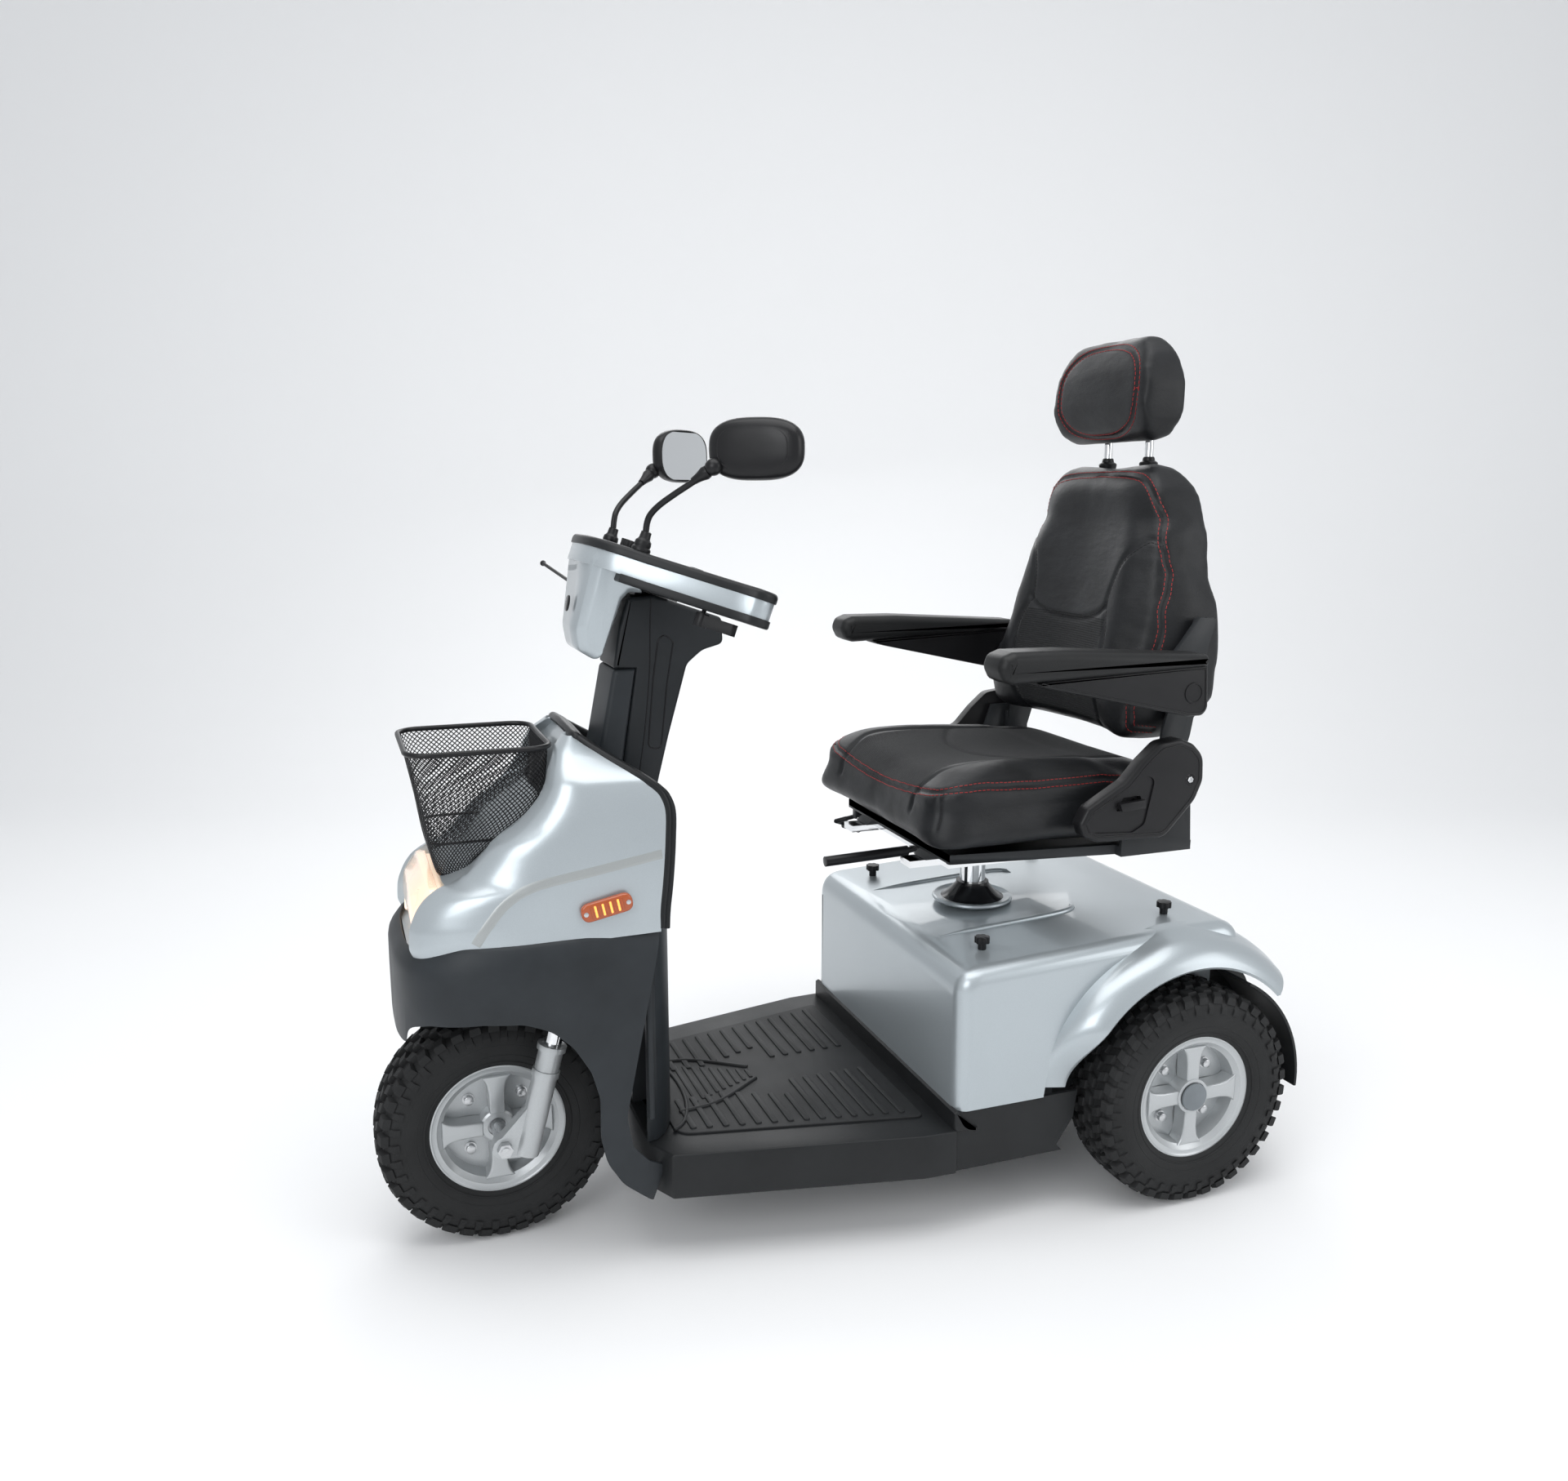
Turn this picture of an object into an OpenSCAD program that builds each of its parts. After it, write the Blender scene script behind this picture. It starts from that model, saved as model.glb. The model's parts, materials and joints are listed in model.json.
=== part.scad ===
// Three-wheel mobility scooter. X is forward, Y is left, Z is up, and the ground is Z = 0.
// Inside placed() every X is measured from the rear axle.

/* [Running gear] */
// Distance between the front and rear axles
wheelbase = 971; // [965:1:980]
// Outer radius of the three tyres, 13 inch class
tyre_r = 165; // [163:1:166]
// Width of a tyre
tyre_w = 100; // [94:1:102]
// Distance between the middles of the rear tyres
track = 520; // [516:1:526]
// Lean of the steering axis from the vertical, degrees
rake = 15; // [14:0.5:16]
// How far the front axle sits ahead of the fork legs
axle_lead = 34; // [32:1:36]
// Diameter of a chrome fork stanchion
stanchion_d = 24; // [22:1:26]

/* [Body] */
// Height of the floor under the rider's feet
floor_z = 163; // [160:1:166]
// Half width of the rear cover
cover_half = 262; // [258:1:264]
// Front face of the rear cover
cover_front = 372; // [368:1:376]
// Wall thickness of the moulded panels
wall = 4; // [3:0.5:5]

/* [Seat] */
// Distance of the seat post ahead of the rear axle
post_x = 213; // [205:1:220]
// Diameter of the chrome seat post
post_d = 40; // [36:1:42]
// Half width of the seat cushion
seat_half = 222; // [215:1:228]
// Distance from the middle to the centre of an armrest
arm_y = 262; // [260:1:268]

/* [Fits] */
// Radial clearance of a running fit
fit = 0.05; // [0.03:0.01:0.09]
// Gap between panels that do not touch
gap = 0.6; // [0.4:0.1:1]

/* [Hidden] */
$fn = 48;

rear_end = -220;                                   // back of the rear panel
front_end = wheelbase + tyre_r;                    // front of the front tyre
middle_x = (front_end + rear_end) / 2;
axle_z = tyre_r;
steer_x = wheelbase - axle_lead;                   // steering axis at axle height
leg_y = 90;                                        // fork leg to the middle
rim_flange_r = 93;
bead_r = 80;
rim_half = 40;
head_tube_r = 22;
stem_r = 14;
stem_pivot_w = 430;                                // tilt pivot, along the steering axis
seat_z = 537;                                      // underside of the seat cushion
recline_x = 18;
recline_z = 640;
arm_pivot_x = 30;
arm_pivot_z = 763;
mirror_turn = 50;                                  // how far the mirrors face inwards
mirror_x = 636;
mirror_y = 177;
mirror_z = 1090;
mirror_ball = [682, 151, 1068];                   // the joint at the back of a mirror
console_slope = 19.5;
console_x = 754;                                   // a point on the console's top face
console_z = 958;
tie_x = 640;                                       // tie-down eyes under the frame
tie_z = 88;
tie_bore_r = 9;
fender_x = 5;
fender_z = 170;

// ---- shared helpers

// Points of an arc round (cx, cy), from angle a0 to a1
function arc(cx, cy, r, a0, a1, n = 8) =
  [for (i = [0:n]) let (a = a0 + (a1 - a0) * i / n) [cx + r * cos(a), cy + r * sin(a)]];

// Outline of a rectangle with round corners, centred
function round_rect(l, w, r) = concat(
  arc(l / 2 - r, w / 2 - r, r, 0, 90), arc(-l / 2 + r, w / 2 - r, r, 90, 180),
  arc(-l / 2 + r, -w / 2 + r, r, 180, 270), arc(l / 2 - r, -w / 2 + r, r, 270, 360));

// The other half of a symmetric outline, in reverse order
function mirrored(pts) = [for (i = [len(pts) - 1:-1:0]) [pts[i][0], -pts[i][1]]];

module placed() translate([-middle_x, 0, 0]) children();

// A side view outline in X and Z, drawn out across Y between two planes
module side_plate(pts, y0, y1)
  translate([0, y1, 0]) rotate([90, 0, 0]) linear_extrude(y1 - y0) polygon(pts);

// A front view outline in Y and Z, drawn out along X
module front_plate(pts, x0, x1)
  translate([x0, 0, 0]) rotate([90, 0, 90]) linear_extrude(x1 - x0) polygon(pts);

// A plan outline, drawn up along Z
module plan_plate(pts, z0, z1) translate([0, 0, z0]) linear_extrude(z1 - z0) polygon(pts);

module both_sides() { children(); mirror([0, 1, 0]) children(); }

module cross_cylinder(x, z, r, y0, y1)
  translate([x, y1, z]) rotate([90, 0, 0]) cylinder(h = y1 - y0, r = r);

// Local Z runs up the steering axis, from the axle's height
module on_steering() translate([steer_x, 0, axle_z]) rotate([0, -rake, 0]) children();

// Local X runs forward along the sloping top of the console, and Z is square to it
module on_console()
  translate([console_x, 0, console_z]) rotate([0, -console_slope, 0]) children();

module rod(a, b, r) {
  d = b - a;
  translate(a) rotate([0, acos(d[2] / norm(d)), atan2(d[1], d[0])]) cylinder(h = norm(d), r = r);
}

// ---- wheels

module tyre() {
  half = tyre_w / 2;
  crown = [for (i = [0:16]) let (a = 180 * i / 16, c = cos(a), s = sin(a))
    [118 + (tyre_r - 118) * pow(s, 0.55), half * sign(c) * pow(abs(c), 0.7)]];
  cavity = [for (i = [0:16]) let (a = 180 * i / 16)
    [116 + (tyre_r - 131) * sin(a), (half - 9) * cos(a)]];
  rotate([90, 0, 0]) rotate_extrude($fn = 96) difference() {
    polygon(concat([[bead_r, 34], [rim_flange_r, 35]], crown,
      [[rim_flange_r, -35], [bead_r, -34]]));
    polygon(concat([[bead_r - 1, 22], [rim_flange_r, 24]], cavity,
      [[rim_flange_r, -24], [bead_r - 1, -22]]));
  }
}

// The bore, and a face of spokes on the side that face points to
module rim(bore_r, face) {
  rotate([face * -90, 0, 0]) difference() {
    union() {
      rotate_extrude($fn = 96) polygon([[72, -rim_half], [rim_flange_r, -rim_half],
        [rim_flange_r, -35.2], [bead_r - 0.2, -34.2], [bead_r - 0.2, 34.2],
        [rim_flange_r, 35.2], [rim_flange_r, rim_half - 2], [rim_flange_r - 2, rim_half],
        [80, rim_half], [73, 34], [72, 10]]);
      cylinder(h = rim_half - 3, r = 26);
      translate([0, 0, -rim_half]) cylinder(h = rim_half + 1, r = 22);
      translate([0, 0, 8]) cylinder(h = 6, r = 73.5);
      for (k = [0:3]) rotate(90 * k) translate([0, 0, 14]) linear_extrude(20)
        polygon([[18, -12], [74, -18], [74, 18], [18, 12]]);
      for (k = [0:3]) rotate(90 * k + 45) translate([50, 0, 13]) {
        cylinder(h = 4, r = 11);
        cylinder(h = 10, r = 8, $fn = 6);
      }
    }
    translate([0, 0, -rim_half - 1]) cylinder(h = 2 * rim_half + 2, r = bore_r);
    for (k = [0:3]) rotate(90 * k + 45) translate([67, 0, 0]) cylinder(h = 30, r = 3.5);
  }
}

module at_front_wheel() placed() translate([wheelbase, 0, axle_z]) children();
module at_rear_wheel(side) placed() translate([0, side * track / 2, axle_z]) children();

module front_tyre() color("#26282a") at_front_wheel() tyre();
module front_rim() color("#b9bdc0") at_front_wheel() rim(10 + fit, 1);
module rear_tyre(side) color("#26282a") at_rear_wheel(side) tyre();
module rear_rim(side) color("#b9bdc0") at_rear_wheel(side) rim(12 + fit, side);

module hub_cap(side) color("#8d9399") at_rear_wheel(side) rotate([side * -90, 0, 0]) {
  translate([0, 0, rim_half - 3]) cylinder(h = 4, r = 21);
  translate([0, 0, rim_half - 14]) cylinder(h = 11, r = 11.8);
}

// A live half shaft, from inside the transaxle to the rim
module axle_shaft(side) color("#9aa0a4") placed() translate([0, 0, axle_z])
  rotate([side * -90, 0, 0]) {
    translate([0, 0, 62]) cylinder(h = track / 2 + 25 - 62, r = 12);
    translate([0, 0, 198]) cylinder(h = track / 2 - rim_half - gap - 198, r = 24);
  }

// ---- front fork and steering

module steering_stem() color("#2b2e30") placed() on_steering() difference() {
  union() {
    translate([0, 0, 212]) plan_plate(round_rect(52, 2 * leg_y + 40, 20), 0, 26);
    translate([0, 0, 230]) cylinder(h = 175, r = stem_r);
    translate([0, 0, 402]) cylinder(h = 8, r = 26);
    both_sides() translate([-16, 21, 402]) cube([32, 9, 44]);
    translate([0, 32, stem_pivot_w]) rotate([90, 0, 0]) cylinder(h = 64, r = 6);
  }
  for (s = [-1, 1]) translate([0, s * leg_y, 200]) cylinder(h = 60, r = stanchion_d / 2);
}

module fork_stanchions() color("#d5d8da") placed() on_steering() both_sides()
  translate([0, leg_y, 62]) cylinder(h = 176, r = stanchion_d / 2);

module fork_legs() color("#b9bdc0") placed() both_sides() difference() {
  union() {
    on_steering() translate([0, leg_y, -16]) {
      cylinder(h = 150, r = 17);
      translate([0, 0, 150]) cylinder(h = 8, r = 20);
      translate([0, 0, 112]) cylinder(h = 10, r = 19);
    }
    side_plate(concat(arc(wheelbase, axle_z, 16, -100, 80),
      [[steer_x + 2, axle_z + 52], [steer_x - 12, axle_z + 40], [steer_x + 4, axle_z - 18]]),
      leg_y - 10, leg_y + 8);
  }
  on_steering() translate([0, leg_y, 10]) cylinder(h = 160, r = stanchion_d / 2 + fit);
  cross_cylinder(wheelbase, axle_z, 6 + fit, leg_y - 20, leg_y + 20);
}

module front_axle() color("#c3c7c9") at_front_wheel() rotate([90, 0, 0]) {
  cylinder(h = 2 * (leg_y - 10.2), r = 10, center = true);
  cylinder(h = 2 * (leg_y + 20), r = 6, center = true);
  for (s = [-1, 1]) translate([0, 0, s * (leg_y + 13.5)]) {
    cylinder(h = 9, r = 10.5, center = true, $fn = 6);
  }
}

// ---- frame and floor

module chassis_frame() color("#3a3d40") placed() difference() {
  union() {
    both_sides() translate([-110, 96, 110]) cube([875, 28, 40]);
    for (x = [-110, 64, 300, 560, 738]) translate([x, -124, 112]) cube([30, 248, 34]);
    side_plate([[744, 108], [776, 108], [776, 262], [802, 402], [862, 412], [842, 470],
      [800, 484], [756, 300], [744, 200]], -22, 22);
    on_steering() translate([0, 0, 252]) cylinder(h = 146, r = head_tube_r);
    translate([post_x, 0, 112]) cylinder(h = 268, r = 32);
    translate([post_x - 55, -124, 112]) cube([110, 248, 34]);
    both_sides() side_plate([[-45, 140], [45, 140], [36, 206], [-36, 206]], 100, 112);
    // tie-down eyes
    both_sides() side_plate(concat(arc(tie_x, tie_z, 15, -180, 0, 12), [[tie_x + 22, 114],
      [tie_x - 22, 114]]), 106, 114);
  }
  on_steering() translate([0, 0, 240]) cylinder(h = 170, r = stem_r + fit);
  translate([post_x, 0, 180]) cylinder(h = 240, r = post_d / 2 + fit);
  both_sides() cross_cylinder(0, axle_z, 26, 90, 130);
  both_sides() cross_cylinder(tie_x, tie_z, tie_bore_r, 100, 120);
  // the side rails are hollow
  both_sides() translate([-112, 99, 113]) cube([880, 22, 34]);
}

function floor_plan(inset) = let (
  half = [[783, 150], [762, 192], [420, 264], [372, 266]])
  concat([for (p = half) [p[0] - inset * (p[0] > 500 ? 1 : 0), p[1] - inset]],
    mirrored([for (p = half) [p[0] - inset * (p[0] > 500 ? 1 : 0), p[1] - inset]]));

module platform() color("#303336") placed() difference() {
  plan_plate(floor_plan(0), 98, floor_z);
  plan_plate(floor_plan(6), 90, floor_z - 6);
  translate([360, -150, 90]) cube([30, 300, floor_z - 96]);
  // slot for the gusset below the head tube
  translate([743.4, -22.4, 150]) cube([33.2, 44.8, 20]);
}

// Plan outline of the leg shield's curved back, or one a little larger or smaller
function shield_plan(grow) = concat([[800, 150 + grow]], [for (i = [1:11]) let (a = 90 + 15 * i)
  [786 + (61 + grow) * cos(a), (150 + grow) * sin(a)]], [[800, -150 - grow]]);

module floor_mat() color("#1f2123") placed() {
  outline = [[742, 142], [400, 212]];
  difference() {
    plan_plate(concat(outline, mirrored(outline)), floor_z, floor_z + 3);
    plan_plate(shield_plan(1), floor_z - 1, floor_z + 9);
  }
  for (k = [0:13]) {
    x = 712 - 22 * k;
    half = 138 + 0.2 * (742 - x);
    both_sides() translate([x, 46, floor_z + 2]) cube([9, half - 50, 3]);
  }
}

// ---- front body

// Half width of the shroud and cowl at each X, as a plan outline with a round nose
function nose_plan(inset) = let (
  nose = 1100 - inset,
  side = concat([[766, 172 - inset], [860, 184 - inset]],
    [for (i = [0:10]) let (a = 90 - 9 * i)
      [930 + (nose - 930) * pow(cos(a), 0.8), (186 - inset) * pow(sin(a), 0.62)]]))
  concat(side, mirrored([for (i = [0:len(side) - 2]) side[i]]));

module front_shroud() color("#3b4044") placed() difference() {
  plan_plate(nose_plan(0), 92, 472);
  plan_plate(concat([[700, 166]], nose_plan(5), [[700, -166]]), 80, 490);
  // the wheel arch and the lower rear corner
  side_plate([[1200, 60], [1200, 318], [1094, 318], [1092, 372], [1062, 376], [1000, 380],
    [950, 376], [915, 361], [888, 334], [866, 296], [855, 256], [856, 200], [848, 163],
    [827, 128], [786, 96], [786, 60]], -220, 220);
  side_plate([[700, 60], [784, 60], [784, 100], [780, 128], [790, 152], [812, 178], [820, 222],
    [789, 366], [767, 462], [767, 500], [700, 500]], -220, 220);
  // the top edge falls a little towards the nose
  side_plate([[700, 472], [1016, 470], [1050, 462], [1080, 452], [1120, 448], [1120, 520],
    [700, 520]], -220, 220);
}

// The cowl's side outline: sloping top, upright back and the ridge beside the basket
function cowl_side(inset) = [[766, 473], [1016, 471], [1050, 463], [1079 - inset, 453],
  [1084 - inset, 484], [1074 - inset, 520], [1050 - inset, 546 - inset],
  [1022 - inset, 541 - inset], [1008 - inset, 561 - inset], [974 - inset, 597 - inset],
  [940 - inset, 622 - inset], [917 - inset, 644 - inset], [900 - inset, 672 - inset],
  [892 - inset, 692 - inset], [884 - inset, 710 - inset], [862 - inset, 724 - inset],
  [852, 719 - inset], [776, 668 - inset], [758, 650 - inset], [752, 630], [757, 560]];

module cowl_form(inset) intersection() {
  side_plate(cowl_side(inset), -170 + inset, 170 - inset);
  plan_plate(nose_plan(9 + inset), 400, 800);
  front_plate(concat(cowl_width(inset), mirrored_y(cowl_width(inset))), 700, 1100);
}

// Half width of the cowl at each height
function cowl_width(inset) = [[172 - inset, 440], [170 - inset, 520], [160 - inset, 620],
  [150 - inset, 668], [118 - inset, 702], [70 - inset, 732]];

function mirrored_y(pts) = [for (i = [len(pts) - 1:-1:0]) [-pts[i][0], pts[i][1]]];

// The hollow that the basket stands in, between the two ridges
module basket_bay() side_plate([[1060, 548], [1024, 530], [1008, 520], [985, 552],
  [940, 590], [905, 620], [885, 660], [874, 712], [868, 770], [1000, 800], [1120, 700]],
  -112, 112);

module front_cowl() color("#c2c7ca") placed() difference() {
  cowl_form(0);
  difference() {
    cowl_form(wall);
    basket_bay_skin();
  }
  translate([700, -160, 440]) cube([62, 320, 400]);
  side_plate([[700, 440], [768, 440], [770, 640], [852, 696], [856, 800], [700, 800]],
    -138, 138);
  basket_bay();
  translate([1035, -104, 452]) cube([80, 208, 93]);
}

// The wall behind the basket, joining the two sides of the cowl
module basket_bay_skin() side_plate([[1064, 552], [1026, 526], [1008, 514], [981, 548],
  [937, 586], [901, 617], [880, 658], [869, 712], [864, 770], [1000, 800], [1120, 700]],
  -116, 116);

module cowl_trim() color("#17181a") placed() both_sides() difference() {
  side_plate([[748, 474], [764.5, 474], [757, 556], [751.5, 630], [757, 652], [775, 670.5],
    [848, 719.5], [842, 727], [768, 681], [747, 662], [739, 636], [744, 556]], 64, 168);
  front_plate([[139, 400], [139, 640], [104, 688], [50, 722], [0, 722], [0, 400]], 700, 900);
  front_plate([[171, 400], [169, 520], [159, 620], [149, 667], [117, 701], [69, 731], [69, 800],
    [300, 800], [300, 400]], 700, 900);
}

module leg_shield() color("#2e3134") placed() difference() {
  union() {
    plan_plate(shield_plan(0), floor_z + 0.4, 545);
    front_plate([[150, 200], [164, 205], [158, 466], [146, 466], [-146, 466], [-158, 466],
      [-164, 205], [-150, 200]], 778, 790);
  }
  plan_plate(shield_plan(-4), 100, 600);
  side_plate([[785, 150], [820, 150], [820, 600], [768, 600], [768, 475], [785, 366]], -200, 200);
}

module headlight_housing() color("#55595c") placed() difference() {
  translate([1000, -94, 462]) cube([36, 188, 46]);
  translate([1006, -88, 468]) cube([40, 176, 34]);
}

module headlight_lens() color("#e8ecee") placed() difference() {
  intersection() {
    side_plate([[1040, 456], [1068, 456], [1084, 478], [1082, 512], [1062, 541],
      [1040, 541]], -102, 102);
    plan_plate(nose_plan(11), 440, 560);
  }
  intersection() {
    side_plate([[1030, 460], [1066, 460], [1079, 479], [1078, 510], [1059, 537],
      [1030, 537]], -98, 98);
    plan_plate(nose_plan(16), 440, 560);
  }
}

module front_indicators() color("#e07b1c") placed() both_sides()
  translate([838, 171.6, 515]) rotate([-90, 0, -2]) rotate([0, 0, 12])
    linear_extrude(9) polygon(round_rect(68, 25, 12));

// ---- basket

// Side outline of the basket: open rim, sloping front and a back that follows the bay
function basket_side(inset) = [[889 + inset, 713], [1068 - inset, 713], [1038 - inset, 552],
  [1024 - inset, 536 + inset], [1010, 528 + inset], [990, 560 + inset], [944 + inset, 598 + inset],
  [912 + inset, 628 + inset], [894 + inset, 664]];

module basket() color("#1b1c1e") placed() {
  difference() {
    basket_form(0);
    basket_form(3);
    translate([880 + 3, -200, 711]) cube([1068 - 883 - 3, 400, 10]);
  }
  difference() {
    translate([979, 0, 709]) plan_plate(round_rect(190, 206, 30), 0, 6);
    translate([979, 0, 700]) plan_plate(round_rect(180, 196, 26), 0, 20);
  }
}

module basket_form(inset) intersection() {
  side_plate(basket_side(inset), -100 + inset, 100 - inset);
  front_plate([[98 - inset, 720], [66 - inset, 520 + inset], [-66 + inset, 520 + inset],
    [-98 + inset, 720]], 800, 1100);
}

// ---- rear body

function cover_side(inset) = [[372 - inset, 188], [372 - inset, 386 - inset],
  [366 - inset, 391 - inset], [0, 411 - inset], [-70, 413 - inset], [-100 - inset, 390 - inset],
  [-100 - inset, 330], [140, 330], [140, 188]];

// The rounded wing over one rear tyre, as an open shell beside the cover
module fender() intersection() {
  translate([fender_x, 0, fender_z]) rotate([90, 0, 0]) rotate([0, 0, 22])
    rotate_extrude(angle = 104, $fn = 96) polygon([[234, -cover_half + 3], [234, -270],
      [228, -288], [216, -300], [200, -307], [198, -303], [213, -296], [224, -285],
      [229.5, -269], [229.5, -cover_half + 3]]);
  translate([-130, 240, 262]) cube([300, 80, 200]);
}

module body_cover() color("#b5babc") placed() difference() {
  union() {
    difference() {
      side_plate(cover_side(0), -cover_half, cover_half);
      side_plate(cover_side(wall), -cover_half + wall, cover_half - wall);
      translate([-130, -258, 180]) cube([498, 516, 150]);
      both_sides() intersection() {
        translate([fender_x, 300, fender_z]) rotate([90, 0, 0]) cylinder(h = 110, r = 229);
        translate([-300, 190, 0]) cube([466, 130, 500]);
      }
    }
    both_sides() fender();
    both_sides() translate([166, cover_half - 3, 262]) cube([4, 44, 76]);
  }
  translate([post_x, 0, 300]) cylinder(h = 200, r = 52);
  for (x = [300, -10], s = [-1, 1]) translate([x, s * 190, 300]) cylinder(h = 200, r = 5);
}

module rear_underbody() color("#202224") placed() {
  // dark sill below the cover, with its floor
  difference() {
    plan_plate([[371, 258], [150, 258], [150, -258], [371, -258]], 98, 187);
    plan_plate([[400, 252], [140, 252], [140, -252], [400, -252]], 102, 200);
    side_plate([[130, 90], [190, 90], [206, 108], [180, 146], [174, 190], [140, 190]],
      -270, 270);
    plan_plate([[197, 200], [100, 200], [100, 94], [197, 94]], 90, 110);
  }
  // undertray that rises to the rear panel
  side_plate([[230, 98], [-160, 98], [rear_end + 2, 150], [-212, 154], [-158, 102],
    [230, 102]], -94, 94);
  // rear panel between the wheels
  side_plate([[-101, 388], [-168, 290], [-194, 236], [-216, 182], [rear_end, 150],
    [-212, 150], [-209, 182], [-187, 238], [-161, 294], [-101, 380]], -196, 196);
  both_sides() {
    // wheel liners behind the rear tyres, and the webs that join them to the panel
    translate([0, 0, axle_z]) rotate([90, 0, 0]) rotate([0, 0, 118])
      rotate_extrude(angle = 66, $fn = 96) polygon([[183, -300], [187, -300], [187, -191],
        [183, -191]]);
    side_plate(concat(arc(0, axle_z, 185, 118, 184, 10), [[-214, 152], [-211, 182],
      [-190, 236], [-164, 292], [-103, 382]]), 191, 196);
  }
}

module knob_at(x, y, z) translate([x, y, z]) {
  cylinder(h = 12, r = 6);
  translate([0, 0, 10]) linear_extrude(9) difference() {
    circle(r = 11);
    for (k = [0:6]) rotate(360 / 7 * k) translate([12.5, 0]) circle(r = 3, $fn = 24);
  }
  translate([0, 0, -30]) cylinder(h = 31, r = 4);
}

module cover_knobs() color("#191a1c") placed() for (x = [300, -10], s = [-1, 1])
  knob_at(x, s * 190, 391 + (366 - x) * 0.055);

module seat_flange() color("#141517") placed() translate([post_x, 0, 0]) difference() {
  union() {
    translate([0, 0, 403.4]) cylinder(h = 5, r = 63);
    translate([0, 0, 408]) rotate_extrude() polygon([[0, 0], [52, 0], [46, 8], [30, 17],
      [26, 26], [0, 26]]);
    translate([0, 0, 380.4]) cylinder(h = 24, r = 46);
  }
  translate([0, 0, 360]) cylinder(h = 80, r = post_d / 2 + 1);
}

module batteries() color("#5b6166") placed() both_sides() {
  translate([178, 38, 150.5]) cube([180, 160, 160]);
  translate([200, 70, 310]) cylinder(h = 8, r = 8);
  translate([336, 70, 310]) cylinder(h = 8, r = 8);
}

module transaxle() color("#7d8387") placed() difference() {
  union() {
    cross_cylinder(0, axle_z, 62, -60, 60);
    cross_cylinder(0, axle_z, 25.5, -196, 196);
    translate([0, 26, axle_z + 62]) cube([96, 108, 108], center = true);
    rod([44, 26, axle_z + 72], [-72, 26, axle_z + 100], 48);
  }
  both_sides() cross_cylinder(0, axle_z, 12 + fit, 58, 200);
}

module tail_lights() color("#b3261e") placed() both_sides()
  side_plate([[-169, 289.5], [-194.2, 237], [-201, 240], [-176, 293]], 96, 172);

// ---- tiller

module tiller_tube() color("#3a3d40") placed() difference() {
  on_steering() {
    translate([-14, -20.6, 418]) cube([28, 41.2, 40]);
    translate([-14, -14, 450]) cube([28, 28, 330]);
    translate([-34, -42, 662]) cube([36, 84, 30]);
  }
  on_steering() translate([0, 40, stem_pivot_w]) rotate([90, 0, 0])
    cylinder(h = 80, r = 6 + fit);
  on_console() translate([-150, -100, -46.6]) cube([300, 200, 100]);
}

// The way through the covers for the tiller tube
module tube_passage() on_steering() translate([-14.6, -14.6, 560]) cube([29.2, 29.2, 260]);

module column_front_cover() color("#43484c") placed() difference() {
  side_plate([[841, 607], [812, 707], [793, 803], [762, 803], [784, 664], [792, 607]],
    -48, 48);
  side_plate([[838.5, 590], [807.4, 707], [788, 798], [752, 798], [752, 590]], -44, 44);
  tube_passage();
}

module column_rear_cover() color("#1d1f21") placed() difference() {
  side_plate([[744, 600], [792.4, 600], [783.4, 664], [761.4, 803.6], [793, 803.6],
    [784, 858], [772, 898], [736, 902], [640, 868], [638, 832], [668, 824], [690, 806],
    [718, 707]], -48, 48);
  side_plate([[749, 590], [800, 590], [777, 707], [768, 800], [780, 858], [768, 892],
    [736, 896], [644, 864], [644, 838], [672, 830], [696, 806], [723, 707]], -44, 44);
  tube_passage();
}

// Plan outline of the console and its two arms, in its own sloping plane
function console_plan(inset) = let (half = concat([[76 - inset, 0], [74 - inset, 62],
  [58 - inset, 92 - inset], [0, 116 - inset], [-90, 214 - inset]],
  arc(-118, 212, 26 - inset, 40, 200, 6), [[-84, 140 + inset], [-40 + inset, 84], [-58 + inset, 50],
  [-62 + inset, 0]]))
  concat(half, mirrored([for (i = [1:len(half) - 2]) half[i]]));

module console() color("#1e2022") placed() difference() {
  on_console() {
    difference() {
      plan_plate(console_plan(0), -46, 0);
      plan_plate(console_plan(4), -42, -5);
      translate([-36, -80, -60]) cube([200, 160, 46]);
    }
  }
  for (s = [-1, 1]) on_console() translate([11, s * 94, -14]) cylinder(h = 16, r = 4 + fit);
  on_console() translate([8, 0, -12]) cylinder(h = 16, r = 3 + fit);
  for (s = [-1, 1]) on_console() translate([-74, s * 162, -60]) cylinder(h = 24, r = 3 + fit);
}

module head_cover() color("#c6cbce") placed() {
  difference() {
    side_plate([[757, 905], [774, 908], [783, 898], [810, 824], [824, 816], [847, 830],
      [850, 858], [830, 955], [818, 966], [757, 944]], -70, 70);
    side_plate([[750, 911], [776, 913], [787, 900], [814, 828], [824, 821], [842, 834],
      [845, 858], [826, 950], [815, 960], [750, 938]], -66, 66);
    on_console() translate([-120, -120, -14.6]) cube([300, 240, 60]);
  }
  // ears and pin of the hand brake lever
  for (z = [892.8, 908.2]) translate([801, -86, z]) cube([14, 17, 4]);
  translate([808, -79, 893]) cylinder(h = 19, r = 2);
}

module speed_dial() color("#24262a") placed() on_console() translate([8, 0, 0]) {
  translate([0, 0, 0.4]) linear_extrude(13) difference() {
    circle(r = 9.5);
    for (k = [0:11]) rotate(30 * k) translate([10.4, 0]) circle(r = 1.6, $fn = 16);
  }
  translate([0, 0, -11]) cylinder(h = 12, r = 3);
}

// A finger paddle on an upright pin under the arm of the console
module throttle_lever(side) color("#17181a") placed() on_console()
  translate([-74, side * 162, -50]) {
    translate([0, 0, -12]) cylinder(h = 24, r = 3);
    translate([0, 0, -18]) cylinder(h = 17.5, r = 9);
    rotate([0, 0, side * 128]) translate([6, -6, -17]) cube([46, 12, 15]);
  }

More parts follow.
